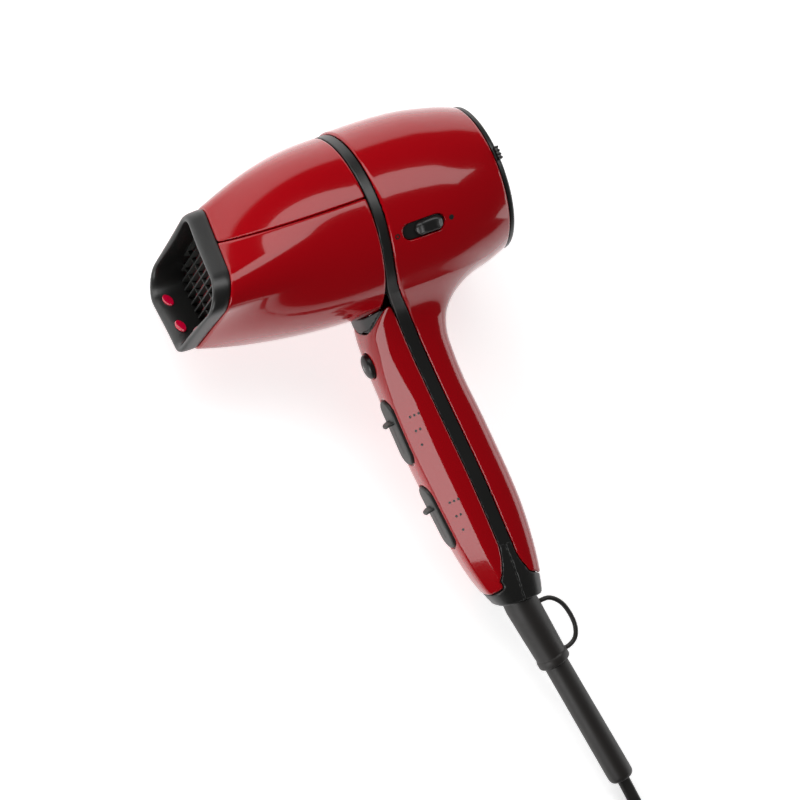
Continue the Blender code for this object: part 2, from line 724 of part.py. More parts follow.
def smooth_line(points, steps):
    """A smooth curve through the points, with this many steps from each to the next."""
    points = [Vector(p) for p in points]
    padded = [2 * points[0] - points[1], *points, 2 * points[-1] - points[-2]]
    line = []
    for a, b, c, d in zip(padded, padded[1:], padded[2:], padded[3:], strict=False):
        for i in range(steps):
            t = i / steps
            bend, twist = 2 * a - 5 * b + 4 * c - d, 3 * b - a - 3 * c + d
            line.append(0.5 * (2 * b + (c - a) * t + bend * t**2 + twist * t**3))
    line.append(points[-1])
    return line


def cord_piece(name, points, finish):
    """A round cord through the points, on the floor."""
    line = smooth_line(points, 2)
    curve = bpy.data.curves.new(name, "CURVE")
    curve.dimensions = "3D"
    curve.bevel_depth = CORD_R * MM
    curve.bevel_resolution = 2
    curve.use_fill_caps = True
    spline = curve.splines.new("POLY")
    spline.points.add(len(line) - 1)
    for point, place in zip(spline.points, line, strict=True):
        point.co = (*(place * MM), 1)
    curve.materials.append(finish)
    made = bpy.data.objects.new(name, curve)
    bpy.context.collection.objects.link(made)


def cord(finish, tie_finish):
    cord_piece("cord_lead", LEAD, finish)
    cord_piece("cord_tail", TAIL, finish)
    up = axes(COIL_AT, (0, 0, 1), (0, 1, 0))
    inner, outer = COIL_MIDDLE_R - COIL_HALF_WIDTH, COIL_MIDDLE_R + COIL_HALF_WIDTH
    low, high, bevel = COIL_LOW, COIL_HIGH, 2.0
    profile = (
        (low, inner + bevel),
        (low, outer - bevel),
        (low + bevel, outer),
        (high - bevel, outer),
        (high, outer - bevel),
        (high, inner + bevel),
        (high - bevel, inner),
        (low + bevel, inner),
    )
    piece("cord_coil", turned(profile, up, 32, wrap=True), finish, None)
    turn = Matrix.Translation(COIL_AT) @ Matrix.Rotation(TIE_TURN, 4, "Z")
    across = turn @ Matrix.Translation((COIL_MIDDLE_R, 0, 0))
    half, side = COIL_HALF_WIDTH + 2 * GAP, TIE_WIDE / 2
    low, high = low - GAP, high + GAP
    thick = Vector((TIE_THICK, 0, TIE_THICK))
    tie = box(Vector((-half, -side, low)) - thick, Vector((half, side, high)) + thick, across)
    cut(tie, box((-half, -side - 1, low), (half, side + 1, high), across))
    piece("cord_tie", tie, tie_finish, None)


def plug(finish, brass, button_finish):
    """A wall plug with a safety cut-out, lying with its blades level. Its frame's x axis points back."""
    frame = axes(PLUG_AT, (1, 0, 0), (0, 0, 1))
    height, width = PLUG_HEIGHT, PLUG_WIDTH
    sections = ((0, 0.86), (2, 1.0), (PLUG_LENGTH - 14, 1.0), (PLUG_LENGTH, 0.55))
    rings = []
    for x, share in sections:
        outline = rounded(width * share, height * share, 6 * share)
        rings.append([frame @ Vector((x, y, z)) for y, z in outline])
    case = joined(skin(rings), turned(((PLUG_LENGTH - 4, 6.0), (PLUG_LENGTH + 10, 4.6)), frame, 16))
    for x in (12, 24):
        cut(case, box((x - 4.4, -5.4, height / 2 - 3), (x + 4.4, 5.4, height / 2 + 3), frame))
    for side in (1, -1):
        middle = side * BLADE_SPACING / 2
        cut(case, box((-1, middle - 1.1, -4.3), (6, middle + 1.1, 4.3), frame))
    piece("plug_body", case, finish, None)
    for x, name in ((12, "plug_reset_button"), (24, "plug_test_button")):
        cap = box((x - 4, -5, height / 2 - 2.4), (x + 4, 5, height / 2 + 0.6), frame)
        piece(name, cap, button_finish, None, frame @ Vector((x, 0, height / 2)))
    for side, name in ((1, "plug_blade_left"), (-1, "plug_blade_right")):
        middle = side * BLADE_SPACING / 2
        tip = -BLADE_LENGTH
        outline = ((5, -3.2), (tip + 2, -3.2), (tip, -1.8), (tip, 1.8), (tip + 2, 3.2), (5, 3.2))
        turn = frame @ Matrix(((1, 0, 0, 0), (0, 0, 1, middle), (0, 1, 0, 0), (0, 0, 0, 1)))
        piece(name, prism(outline, -0.75, 0.75, turn), brass, None)


def rounded(width, height, radius, count=4):
    """A rectangle's outline with round corners."""
    outline = []
    for corner, (sx, sy) in enumerate(((1, 1), (-1, 1), (-1, -1), (1, -1))):
        for i in range(count + 1):
            a = math.pi / 2 * (corner + i / count)
            x, y = sx * (width / 2 - radius), sy * (height / 2 - radius)
            outline.append((x + radius * math.cos(a), y + radius * math.sin(a)))
    return outline


def dryer_matrix():
    """From the dryer's axes to the floor's, in metres."""
    lay_down = Matrix(((-1, 0, 0, 0), (0, 0, 1, 0), (0, 1, 0, 0), (0, 0, 0, 1)))
    turn = Matrix.Rotation(TILT, 4, "X") @ Matrix.Rotation(PITCH, 4, "Y")
    return Matrix.Translation(REST * MM) @ turn @ lay_down


def main():
    for old in list(bpy.data.objects):
        bpy.data.objects.remove(old)
    red = material("gloss_red", (0.48, 0.004, 0.012), 0.12)
    black = material("satin_black", (0.012, 0.012, 0.012), 0.4)
    dark = material("switch_grey", (0.03, 0.032, 0.03), 0.5)
    rubber = material("cord_rubber", (0.016, 0.014, 0.013), 0.55)
    lens = material("lens_red", (0.5, 0.0, 0.02), 0.08)
    inner = material("heat_resistant_black", (0.02, 0.02, 0.02), 0.6)
    mica = material("mica", (0.5, 0.42, 0.3), 0.6)
    circuit = material("circuit_board", (0.03, 0.15, 0.05), 0.5)
    steel = metal("steel", (0.6, 0.6, 0.6), 0.3)
    nichrome = metal("nichrome", (0.45, 0.4, 0.36), 0.4)

    parent = bpy.data.objects.new("dryer_axes", None)
    bpy.context.collection.objects.link(parent)
    parent.matrix_world = dryer_matrix()

    front_barrel(red, parent)
    nozzle(black, lens, parent)
    grille(inner, parent)
    band(black, parent)
    rear_body(red, parent)
    handle_front(red, parent)
    neck(black, parent)
    end_cap(black, parent)
    controls((dark, black, steel), parent)
    board(circuit, parent)
    screws(steel, parent)
    lock(black, parent)
    filter_cover(black, steel, steel, parent)
    fan(inner, steel, parent)
    motor_mount(inner, parent)
    heater(mica, nichrome, steel, parent)
    sleeves(rubber, parent)
    cord(rubber, black)
    plug(rubber, metal("brass", (0.75, 0.6, 0.32), 0.3), dark)


main()
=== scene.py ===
"""Looks of the hair dryer: smooth shells, satin trim, rubber cord and procedural materials.

The dryer's own axes are in millimetres: +x along the barrel to the nozzle, +y to its left side, +z up,
with the origin on the barrel's axis in the middle of the black band. TO_FLOOR takes them to the
frame's metres. Shells are smooth fields (negative inside, about a distance in millimetres), meshed by
surface nets; turned and moulded pieces are lofts.
"""

import json
import math

import bmesh
import bpy
import numpy as np
from mathutils import Matrix, Vector


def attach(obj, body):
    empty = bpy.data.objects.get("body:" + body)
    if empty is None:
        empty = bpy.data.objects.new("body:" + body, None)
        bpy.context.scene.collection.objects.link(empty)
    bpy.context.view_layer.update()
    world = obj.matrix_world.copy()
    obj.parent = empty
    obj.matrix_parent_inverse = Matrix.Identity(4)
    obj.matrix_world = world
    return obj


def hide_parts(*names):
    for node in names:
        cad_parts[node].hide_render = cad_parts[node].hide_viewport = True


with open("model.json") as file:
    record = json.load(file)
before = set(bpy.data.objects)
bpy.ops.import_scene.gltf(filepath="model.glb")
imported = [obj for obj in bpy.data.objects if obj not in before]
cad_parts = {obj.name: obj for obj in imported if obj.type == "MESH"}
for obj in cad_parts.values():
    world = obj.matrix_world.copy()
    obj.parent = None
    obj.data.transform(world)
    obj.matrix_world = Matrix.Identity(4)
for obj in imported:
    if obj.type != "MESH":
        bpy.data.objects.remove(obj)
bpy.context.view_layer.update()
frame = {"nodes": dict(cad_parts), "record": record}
MM = 0.001
HOUSING = "housing"

# How the dryer lies on the floor
TILT, PITCH = math.radians(7.54), math.radians(-0.75)
REST = Vector((13.85, 135.05, 47.3)) * MM
LAY_DOWN = Matrix(((-1, 0, 0, 0), (0, 0, 1, 0), (0, 1, 0, 0), (0, 0, 0, 1)))
TO_FLOOR = (
    Matrix.Translation(REST)
    @ Matrix.Rotation(TILT, 4, "X")
    @ Matrix.Rotation(PITCH, 4, "Y")
    @ LAY_DOWN
)
AXES = np.array(TO_FLOOR)

# ---- sizes, as in the frame ----

BAND_FRONT, BAND_R = 2.2, 46.2
FRONT_R, WALL, HANDLE_WALL = 46.5, 2.2, 2.4
SHELL_FRONT, MOUTH, MOUTH_SLANT = 83.7, 93.0, 0.364
MOUTH_HALF_WIDTH, MOUTH_TOP, MOUTH_BOTTOM, MOUTH_DROP, CORNER_R = 46.0, 36.0, 30.6, 3.0, 12.0
SEAM_Z = 18.0
REAR_END = -72.0
REAR_PROFILE = ((-90, 30.0), (-72, 38.2), (-64, 41.0), (-54, 43.6), (-42, 45.9))
REAR_PROFILE += ((-30, 47.0), (-18, 47.4), (-6, 47.4), (30, 47.4))
HANDLE = (
    (-34, 14.0, -54.0, 28.0),
    (-40, 12.5, -46.6, 25.0),
    (-46, 11.1, -42.0, 22.4),
    (-52, 10.4, -38.2, 20.6),
    (-58, 10.2, -35.2, 19.2),
    (-66, 9.9, -33.4, 18.2),
    (-78, 9.0, -33.8, 17.6),
    (-91, 7.4, -35.3, 17.3),
    (-110, 4.9, -38.9, 17.2),
    (-128, 2.1, -42.0, 17.2),
    (-145, -1.1, -44.8, 17.0),
    (-160, -4.1, -46.8, 16.5),
    (-177, -7.7, -47.8, 15.6),
    (-190, -11.4, -47.8, 14.4),
    (-200, -15.2, -47.2, 13.2),
    (-207, -18.6, -46.5, 12.0),
    (-211, -20.7, -45.9, 11.2),
)
HANDLE_POWER = 3.0
STRIP = (
    (10, -0.5, 2.7),
    (-24, -0.5, 2.7),
    (-30, -1.2, 2.8),
    (-36, -3.0, 2.9),
    (-46, -6.8, 3.2),
    (-55, -8.9, 3.5),
    (-65, -10.6, 3.5),
    (-100, -16.6, 3.5),
    (-139, -23.4, 3.5),
    (-178, -29.3, 3.5),
)
LOBE_TOP = ((-8, -30), (-1.0, -39.5), (2.5, -44), (6, -49), (9, -54.5), (10.6, -58.5), (14, -64), (30, -90))
CAP_FRONT_EDGE = ((-26.0, -178), (-25.4, -187), (-22.8, -196), (-17.6, -203.5), (2, -207), (60, -209))
CAP_REAR_EDGE = ((-33.0, -178), (-34.2, -186), (-37.2, -193), (-41.5, -198.2), (-60, -203), (-90, -205))
HEAT_Z, HEAT_FIN_Z = -109.0, -103.0
SPEED_Z, SPEED_FIN_Z = -157.0, -151.5
SWITCH_LENGTH, SWITCH_WIDTH, SWITCH_PROUD, SWITCH_TRAVEL = 36.0, 13.0, 1.0, 15.5
COOL_Z, COOL_LENGTH, COOL_WIDTH, COOL_PROUD = -72.0, 13.0, 10.5, 3.2
LOCK_X, LOCK_ANGLE, REAR_R = -21.4, math.radians(-6.0), 47.4
LOCK_SLOT_LENGTH, LOCK_SLOT_WIDTH, LOCK_KNOB_LENGTH, LOCK_KNOB_WIDTH = 23.4, 8.8, 15.4, 7.2
COVER_R, COVER_THICK = 37.8, 2.6
SLEEVE_TOP, SLEEVE_LEAN = Vector((-33.6, 0, -211.4)), math.radians(14.7)
SLEEVE_ONE, SLEEVE_TWO = 39.0, 72.0
LOOP = ((-42, -216.4), (-50, -216.6), (-56.2, -222.5), (-59.2, -233))
LOOP += ((-57.6, -240.5), (-52, -243.8), (-47, -242.8))

# The cord, in the floor's millimetres
CORD_WIDTH, CORD_THICK = 6.8, 3.4
COIL_AT = Vector((44, -245, 0))
PLUG_AT = Vector((-62.8, -292, 13.2))
PLUG_WIDTH, PLUG_HEIGHT = 34.0, 26.0
LEAD = ((75.7, -181.5, 6.2), (77.2, -187.2, 5.4), (78.8, -193.3, 4.5))
LEAD += ((80.4, -199.4, 3.8), (82.2, -206.2, 3.5))
TAIL = ((16.5, -291.6, 12.0), (8, -291.8, 11.6), (0, -292, 12.6), (-8.2, -292, 13.2))


# ---- camera ----

VIEW_YAW, VIEW_RISE, IMAGE_TURN = math.radians(19.5), math.radians(12.5), math.radians(20.0)
VIEW_WIDTH, LENS, SENSOR = 400.0, 400.0, 36.0
AIM_RIGHT, AIM_UP = 26.1, -87.8  # the picture's middle, from the dryer's origin


def make_camera():
    """Looks at the dryer's left side from a little in front and above, turned so that the barrel rises."""
    yaw, rise, turn = VIEW_YAW, VIEW_RISE, IMAGE_TURN
    back = Vector((math.sin(yaw), math.cos(yaw) * math.cos(rise), math.cos(yaw) * math.sin(rise)))
    barrel = (Vector((1, 0, 0)) - back * back.x).normalized()
    upright = barrel.cross(back) * -1
    if upright.z < 0:
        upright = -upright
    right = -barrel * math.cos(turn) - upright * math.sin(turn)
    up = upright * math.cos(turn) - barrel * math.sin(turn)
    place = Matrix((right, up, back)).transposed().to_4x4()
    place.translation = right * AIM_RIGHT + up * AIM_UP + back * (VIEW_WIDTH * LENS / SENSOR)
    data = bpy.data.cameras.new("camera")
    data.lens, data.sensor_width = LENS, SENSOR
    data.clip_start, data.clip_end = 0.5, 30
    camera = bpy.data.objects.new("camera", data)
    bpy.context.collection.objects.link(camera)
    at, spin, _ = (TO_FLOOR @ Matrix.Scale(MM, 4) @ place).decompose()
    camera.matrix_world = Matrix.Translation(at) @ spin.to_matrix().to_4x4()
    bpy.context.scene.camera = camera


# ---- fields ----


def smooth_columns(table, step=0.5):
    """The table's columns drawn smoothly through its rows, sampled by its first column."""
    rows = np.array(sorted(table), float)
    at = np.arange(rows[0, 0], rows[-1, 0] + step, step)
    out = [at]
    slopes = np.gradient(rows[:, 1:], rows[:, 0], axis=0)
    i = np.clip(np.searchsorted(rows[:, 0], at, "right") - 1, 0, len(rows) - 2)
    h = rows[i + 1, 0] - rows[i, 0]
    t = np.clip((at - rows[i, 0]) / h, 0, 1)
    for k in range(1, rows.shape[1]):
        a, b = rows[i, k], rows[i + 1, k]
        ma, mb = slopes[i, k - 1] * h, slopes[i + 1, k - 1] * h
        leaving = (2 * t**3 - 3 * t**2 + 1) * a + (t**3 - 2 * t**2 + t) * ma
        arriving = (3 * t**2 - 2 * t**3) * b + (t**3 - t**2) * mb
        out.append(leaving + arriving)
    return out


HANDLE_AT, HANDLE_FRONT, HANDLE_REAR, HANDLE_HALF = smooth_columns(HANDLE)
STRIP_AT, STRIP_X, STRIP_HALF = smooth_columns(STRIP)
REAR_AT, REAR_RADIUS = smooth_columns(REAR_PROFILE)


def joined_edge(side, cap_edge):
    """The strip's front or rear side, run on into the end cap's edge: z and x."""
    strip = zip(STRIP_AT, STRIP_X, STRIP_HALF, strict=True)
    above = [(z, x + side * half) for z, x, half in strip if z > -177]
    cap_at, cap_x = smooth_columns([(z, x) for x, z in cap_edge], 0.25)
    below = [(z, x) for z, x in zip(cap_at, cap_x, strict=True) if z < -179]
    rows = np.array(below + above)
    return rows[:, 0], rows[:, 1]


FRONT_EDGE = joined_edge(1, CAP_FRONT_EDGE)
REAR_EDGE = joined_edge(-1, CAP_REAR_EDGE)
LOBE_AT, LOBE_Z = smooth_columns(LOBE_TOP, 0.25)


def soft_min(a, b, k):
    h = np.clip(0.5 + 0.5 * (b - a) / k, 0, 1)
    return b + (a - b) * h - k * h * (1 - h)


def soft_max(a, b, k):
    return -soft_min(-a, -b, k)


def handle_section(z):
    """The handle's middle, half depth and half thickness at a level."""
    front = np.interp(z, HANDLE_AT, HANDLE_FRONT)
    rear = np.interp(z, HANDLE_AT, HANDLE_REAR)
    return (front + rear) / 2, (front - rear) / 2, np.interp(z, HANDLE_AT, HANDLE_HALF)


def handle_field(p):
    """The handle, a rounded box in section."""
    x, y, z = p.T
    middle, deep, half = handle_section(z)
    m = HANDLE_POWER
    u, v = np.abs(x - middle) / deep + 1e-6, np.abs(y) / half + 1e-6
    g = (u**m + v**m) ** (1 / m)
    slope = np.hypot(u ** (m - 1) / deep, v ** (m - 1) / half) * g ** (1 - m)
    return (g - 1) / np.maximum(slope, 0.02)


def rear_field(p):
    x, y, z = p.T
    return (np.hypot(y, z) - np.interp(x, REAR_AT, REAR_RADIUS)) * 0.97


def diamond(angle, half_width, half_height):
    a, b = half_width - CORNER_R, half_height - CORNER_R
    s, c = np.abs(np.sin(angle)), np.abs(np.cos(angle))
    k = np.hypot(1 / a, 1 / b)
    edge = (1 + CORNER_R * k) / (s / a + c / b)
    side = a * s + np.sqrt(np.maximum(CORNER_R**2 - (a * c) ** 2, 0))
    top = b * c + np.sqrt(np.maximum(CORNER_R**2 - (b * s) ** 2, 0))
    at_side = edge * s > a + CORNER_R / (a * k)
    at_top = edge * c > b + CORNER_R / (b * k)
    return np.where(at_side, side, np.where(at_top, top, edge))


def share_at(x):
    return np.clip((x - 8) / (SHELL_FRONT - 8), 0, 1) ** 2


def slant_at(x):
    return MOUTH_SLANT * np.clip((x - BAND_FRONT) / (SHELL_FRONT - BAND_FRONT), 0, 1) ** 1.5


def barrel_radius(station, angle):
    height = np.where(np.cos(angle) > 0, MOUTH_TOP, MOUTH_BOTTOM)
    return FRONT_R + share_at(station) * (diamond(angle, MOUTH_HALF_WIDTH, height) - FRONT_R)


def barrel_station(x, z):
    """The slanted section that a point lies in, as its place on the axis."""
    station = x
    for _ in range(6):
        station = x + slant_at(station) * z
    return station


def front_field(p):
    x, y, z = p.T
    station = barrel_station(x, z)
    up = z + share_at(station) * MOUTH_DROP
    angle = np.arctan2(np.abs(y), up)
    return (np.hypot(y, up) - barrel_radius(station, angle)) * 0.93


def strip_sides(p):
    """How far a point is in front of the strip's middle line, and half the strip's width there."""
    x, _, z = p.T
    return x - np.interp(z, STRIP_AT, STRIP_X), np.interp(z, STRIP_AT, STRIP_HALF)


def edge_distance(p, edge):
    """How far a point is in front of an edge that runs down the handle as x of z."""
    x, _, z = p.T
    at, xs = edge
    slope = np.gradient(xs, at)
    return (x - np.interp(z, at, xs)) / np.hypot(1, np.interp(z, at, slope))


def stadium_field(u, v, length, width):
    return np.hypot(np.maximum(np.abs(u) - (length - width) / 2, 0), v) - width / 2


# ---- meshing ----


def field_values(field, low, count, step, block=8):
    """The field on a grid. Blocks far from the surface take one value for all their points."""
    axes = [low[k] + step * np.arange(count[k]) for k in range(3)]
    values = np.full(count, 1.0, np.float32)
    starts = [np.arange(0, n, block) for n in count]
    centres = [low[k] + (starts[k] + block / 2) * step for k in range(3)]
    middles = np.stack(np.meshgrid(*centres, indexing="ij"), -1)
    rough = field(middles.reshape(-1, 3)).reshape(middles.shape[:3])
    reach = block * step * 0.87 * 1.35 + 1.0
    near = np.abs(rough) < reach
    for i, a in enumerate(starts[0]):
        for j, b in enumerate(starts[1]):
            for k, c in enumerate(starts[2]):
                if not near[i, j, k]:
                    values[a : a + block, b : b + block, c : c + block] = rough[i, j, k]
    todo = np.argwhere(near)
    for chunk in range(0, len(todo), 400):
        cells, sets = [], []
        for i, j, k in todo[chunk : chunk + 400]:
            a, b, c = starts[0][i], starts[1][j], starts[2][k]
            spans = [axes[0][a : a + block], axes[1][b : b + block], axes[2][c : c + block]]
            grid = np.meshgrid(*spans, indexing="ij")
            sets.append(np.stack(grid, -1).reshape(-1, 3))
            cells.append((a, b, c, grid[0].shape))
        found = field(np.concatenate(sets))
        at = 0
        for a, b, c, shape in cells:
            size = shape[0] * shape[1] * shape[2]
            cell = tuple(slice(start, start + n) for start, n in zip((a, b, c), shape, strict=True))
            values[cell] = found[at : at + size].reshape(shape)
            at += size
    return values


def surface_net(field, low, high, step):
    """Points, quads and normals where the field is zero, inside the box from low to high."""
    low = np.array(low, float) - step * 1.37
    count = np.ceil((np.array(high, float) + step * 1.5 - low) / step).astype(int) + 1
    values = field_values(field, low, count, step)
    inside = values < 0
    corners = [(i, j, k) for i in (0, 1) for j in (0, 1) for k in (0, 1)]

    def part(array, i, j, k):
        return array[i : array.shape[0] - 1 + i, j : array.shape[1] - 1 + j, k : array.shape[2] - 1 + k]

    total = sum(part(inside, *c).astype(np.int8) for c in corners)
    active = (total > 0) & (total < 8)
    cell_at = np.argwhere(active)
    number = np.full(active.shape, -1, np.int64)
    number[active] = np.arange(len(cell_at))
    summed, hits = np.zeros((len(cell_at), 3)), np.zeros(len(cell_at))
    for first in corners:
        for axis in range(3):
            if first[axis]:
                continue
            second = tuple(first[k] + (k == axis) for k in range(3))
            va, vb = part(values, *first)[active], part(values, *second)[active]
            crossing = (va < 0) != (vb < 0)
            t = np.where(crossing, va / np.where(crossing, va - vb, 1), 0)
            place = np.array(first, float)[None] + t[:, None] * (np.arange(3) == axis)[None]
            summed += np.where(crossing[:, None], place, 0)
            hits += crossing
    points = low + (cell_at + summed / hits[:, None]) * step
    quads = []
    for axis in range(3):
        u, v = (axis + 1) % 3, (axis + 2) % 3
        a = inside[tuple(slice(0, -1) if k == axis else slice(1, -1) for k in range(3))]
        b = inside[tuple(slice(1, None) if k == axis else slice(1, -1) for k in range(3))]
        where = np.argwhere(a != b)
        leaving = a[tuple(where.T)]
        where = where + np.array([0 if k == axis else 1 for k in range(3)])
        ring = []
        for du, dv in ((-1, -1), (0, -1), (0, 0), (-1, 0)):
            cell = where.copy()
            cell[:, u] += du
            cell[:, v] += dv
            ring.append(number[tuple(cell.T)])
        ring = np.stack(ring, 1)
        quads.append(np.where(leaving[:, None], ring, ring[:, ::-1]))
    quads = np.concatenate(quads)

    def gradient(at):
        e = 0.05
        shifts = np.eye(3) * e
        return np.stack([(field(at + shift) - field(at - shift)) / (2 * e) for shift in shifts], 1)

    for _ in range(3):
        slope = gradient(points)
        size = np.maximum((slope**2).sum(1), 0.05)
        move = field(points)[:, None] * slope / size[:, None]
        far = np.linalg.norm(move, axis=1, keepdims=True)
        points = points - move * np.minimum(1, 0.5 * step / np.maximum(far, 1e-9))
    normals = gradient(points)
    normals /= np.maximum(np.linalg.norm(normals, axis=1, keepdims=True), 1e-9)
    return points, quads, normals


def to_floor(points):
    return points * MM @ AXES[:3, :3].T + AXES[:3, 3]


def mesh_piece(name, points, faces, material, normals=None, on_floor=False, sharp=35):
    """A piece from points in the dryer's millimetres, or the floor's."""
    points = np.asarray(points, float)
    mesh = bpy.data.meshes.new(name)
    placed = points * MM if on_floor else to_floor(points)
    mesh.from_pydata(placed.tolist(), [], [tuple(f) for f in faces])
    mesh.update()
    mesh.materials.append(material)
    made = bpy.data.objects.new(name, mesh)
    bpy.context.collection.objects.link(made)
    mesh.shade_smooth()
    if normals is not None:
        turned = normals if on_floor else normals @ AXES[:3, :3].T
        mesh.normals_split_custom_set_from_vertices(turned.tolist())
    elif sharp:
        mesh.set_sharp_from_angle(angle=math.radians(sharp))
    return made


def field_piece(name, field, low, high, step, material):
    points, quads, normals = surface_net(field, low, high, step)
    return mesh_piece(name, points, quads.tolist(), material, normals)


def loft(name, rings, material, wrap=False, on_floor=False, sharp=35):
    """A piece whose surface runs from ring to ring. With wrap the last ring joins the first."""
    count = len(rings[0])
    points = np.array([tuple(p) for ring in rings for p in ring], float)
    faces = []
    pairs = [(i, i + 1) for i in range(len(rings) - 1)] + ([(len(rings) - 1, 0)] if wrap else [])
    for a, b in pairs:
        for i in range(count):
            j = (i + 1) % count
            faces.append((a * count + i, a * count + j, b * count + j, b * count + i))
    if not wrap:
        faces.append(tuple(range(count))[::-1])
        faces.append(tuple((len(rings) - 1) * count + i for i in range(count)))
    made = mesh_piece(name, points, faces, material, on_floor=on_floor, sharp=None)
    bm = bmesh.new()
    bm.from_mesh(made.data)
    bmesh.ops.recalc_face_normals(bm, faces=bm.faces)
    bm.to_mesh(made.data)
    bm.free()
    made.data.shade_smooth()
    if sharp:
        made.data.set_sharp_from_angle(angle=math.radians(sharp))
    return made


def circle(count):
    return [2 * math.pi * i / count for i in range(count)]


def axes_at(origin, x, z):
    """A frame at origin with its x axis along x and its z axis as near z as it can be."""
    x = Vector(x).normalized()
    y = Vector(z).cross(x).normalized()
    z = x.cross(y)
    made = Matrix((x, y, z)).transposed().to_4x4()
    made.translation = Vector(origin)
    return made


def turned_rings(profile, place=None, count=48):
    """Rings round the x axis of place, from (x, radius) rows."""
    place = place or Matrix()
    turns = [(math.sin(a), math.cos(a)) for a in circle(count)]
    return [[place @ Vector((x, r * s, r * c)) for s, c in turns] for x, r in profile]


def smooth_line(points, steps):
    """A smooth curve through the points, with this many steps from each to the next."""
    points = [Vector(p) for p in points]
    padded = [2 * points[0] - points[1], *points, 2 * points[-1] - points[-2]]
    line = []
    for a, b, c, d in zip(padded, padded[1:], padded[2:], padded[3:], strict=False):
        for i in range(steps):
            t = i / steps
            bend, twist = 2 * a - 5 * b + 4 * c - d, 3 * b - a - 3 * c + d
            line.append(0.5 * (2 * b + (c - a) * t + bend * t**2 + twist * t**3))
    line.append(points[-1])
    return line


def stadium(length, width, count=12):
    straight, r = (length - width) / 2, width / 2
    ends = []
    for side in (1, -1):
        for i in range(count + 1):
            a = -math.pi / 2 + math.pi * i / count
            ends.append((side * (straight + r * math.cos(a)), side * r * math.sin(a)))
    return ends


def oval(length, width, count=40):
    return [(length / 2 * math.cos(a), width / 2 * math.sin(a)) for a in circle(count)]


def shrinking(shape, length, width):
    """The shape's outline as a function of how far it is inset."""
    return lambda inset: shape(length - 2 * inset, width - 2 * inset)


def layered(name, layers, place, material, on_floor=False):
    """A piece from (outline, height) layers along the z axis of place."""
    rings = [[place @ Vector((x, y, z)) for x, y in outline] for outline, z in layers]
    return loft(name, rings, material, on_floor=on_floor)


def front_of_handle(z):
    """A frame on the handle's front face: x down the handle, z straight out of it."""

    def front(at):
        rows = sorted(HANDLE)
        return float(np.interp(at, [r[0] for r in rows], [r[1] for r in rows]))

    down = Vector((front(z - 6) - front(z + 6), 0, -12)).normalized()
    out = Vector((-down.z, 0, down.x))
    return axes_at((front(z), 0, z), down, out)


def local(p, place):
    """Points seen from a frame: its u, v, w."""
    m = np.array(place)
    return ((p - m[:3, 3]) @ m[:3, :3]).T


# ---- materials ----


def new_material(name):
    made = bpy.data.materials.new(name)
    made.use_nodes = True
    nodes, links = made.node_tree.nodes, made.node_tree.links
    return made, nodes, links, nodes["Principled BSDF"]


def link_noise(nodes, links, scale, detail, vector):
    noise = nodes.new("ShaderNodeTexNoise")
    noise.inputs["Scale"].default_value = scale
    noise.inputs["Detail"].default_value = detail
    links.new(vector, noise.inputs["Vector"])
    return noise


def plastic(name, color, roughness, spread, color_spread, bump, bump_scale, coat=0.0):
    """Moulded plastic: fine uneven gloss, a faint mottle in the colour and a texture of the mould."""
    made, nodes, links, shader = new_material(name)
    place = nodes.new("ShaderNodeTexCoord").outputs["Object"]
    wide = link_noise(nodes, links, 55, 3, place)
    ramp = nodes.new("ShaderNodeMapRange")
    ramp.inputs["To Min"].default_value = roughness - spread
    ramp.inputs["To Max"].default_value = roughness + spread
    links.new(wide.outputs["Fac"], ramp.inputs["Value"])
    links.new(ramp.outputs["Result"], shader.inputs["Roughness"])
    mix = nodes.new("ShaderNodeMix")
    mix.data_type = "RGBA"
    mix.inputs["A"].default_value = (*[c * (1 - color_spread) for c in color], 1)
    mix.inputs["B"].default_value = (*[min(c * (1 + color_spread), 1) for c in color], 1)
    mottle = link_noise(nodes, links, 18, 2, place)
    links.new(mottle.outputs["Fac"], mix.inputs["Factor"])
    links.new(mix.outputs["Result"], shader.inputs["Base Color"])
    grain = link_noise(nodes, links, bump_scale, 4, place)
    raised = nodes.new("ShaderNodeBump")
    raised.inputs["Strength"].default_value = bump
    raised.inputs["Distance"].default_value = 0.0002
    links.new(grain.outputs["Fac"], raised.inputs["Height"])
    links.new(raised.outputs["Normal"], shader.inputs["Normal"])
    shader.inputs["Coat Weight"].default_value = coat
    return made


def metal(name, color, roughness, spread, bump_scale):
    made = plastic(name, color, roughness, spread, 0.06, 0.15, bump_scale)
    made.node_tree.nodes["Principled BSDF"].inputs["Metallic"].default_value = 1.0
    return made


RED = plastic("red_gloss", (0.33, 0.0004, 0.0038), 0.16, 0.03, 0.03, 0.02, 900, coat=1.0)
for socket, value in (("Coat Roughness", 0.05), ("Coat IOR", 1.36), ("Specular IOR Level", 0.12)):
    RED.node_tree.nodes["Principled BSDF"].inputs[socket].default_value = value
BLACK = plastic("black_satin", (0.010, 0.010, 0.0095), 0.36, 0.05, 0.10, 0.10, 2600)
DARK_GREY = plastic("switch_grey_matte", (0.026, 0.028, 0.026), 0.46, 0.05, 0.12, 0.16, 2600)
RUBBER = plastic("cord_rubber_dull", (0.013, 0.011, 0.010), 0.50, 0.06, 0.15, 0.14, 1800)
LENS_RED = plastic("lens_red_clear", (0.55, 0.0, 0.03), 0.06, 0.02, 0.05, 0.01, 800, coat=1.0)
HEAT_BLACK = plastic("heat_proof_black", (0.02, 0.02, 0.02), 0.55, 0.06, 0.15, 0.2, 1500)
MICA = plastic("mica_sheet", (0.42, 0.34, 0.22), 0.5, 0.12, 0.35, 0.3, 500)
CIRCUIT = plastic("circuit_green", (0.02, 0.11, 0.04), 0.4, 0.08, 0.2, 0.1, 1200)
STEEL = metal("steel_satin", (0.56, 0.57, 0.58), 0.3, 0.06, 1800)
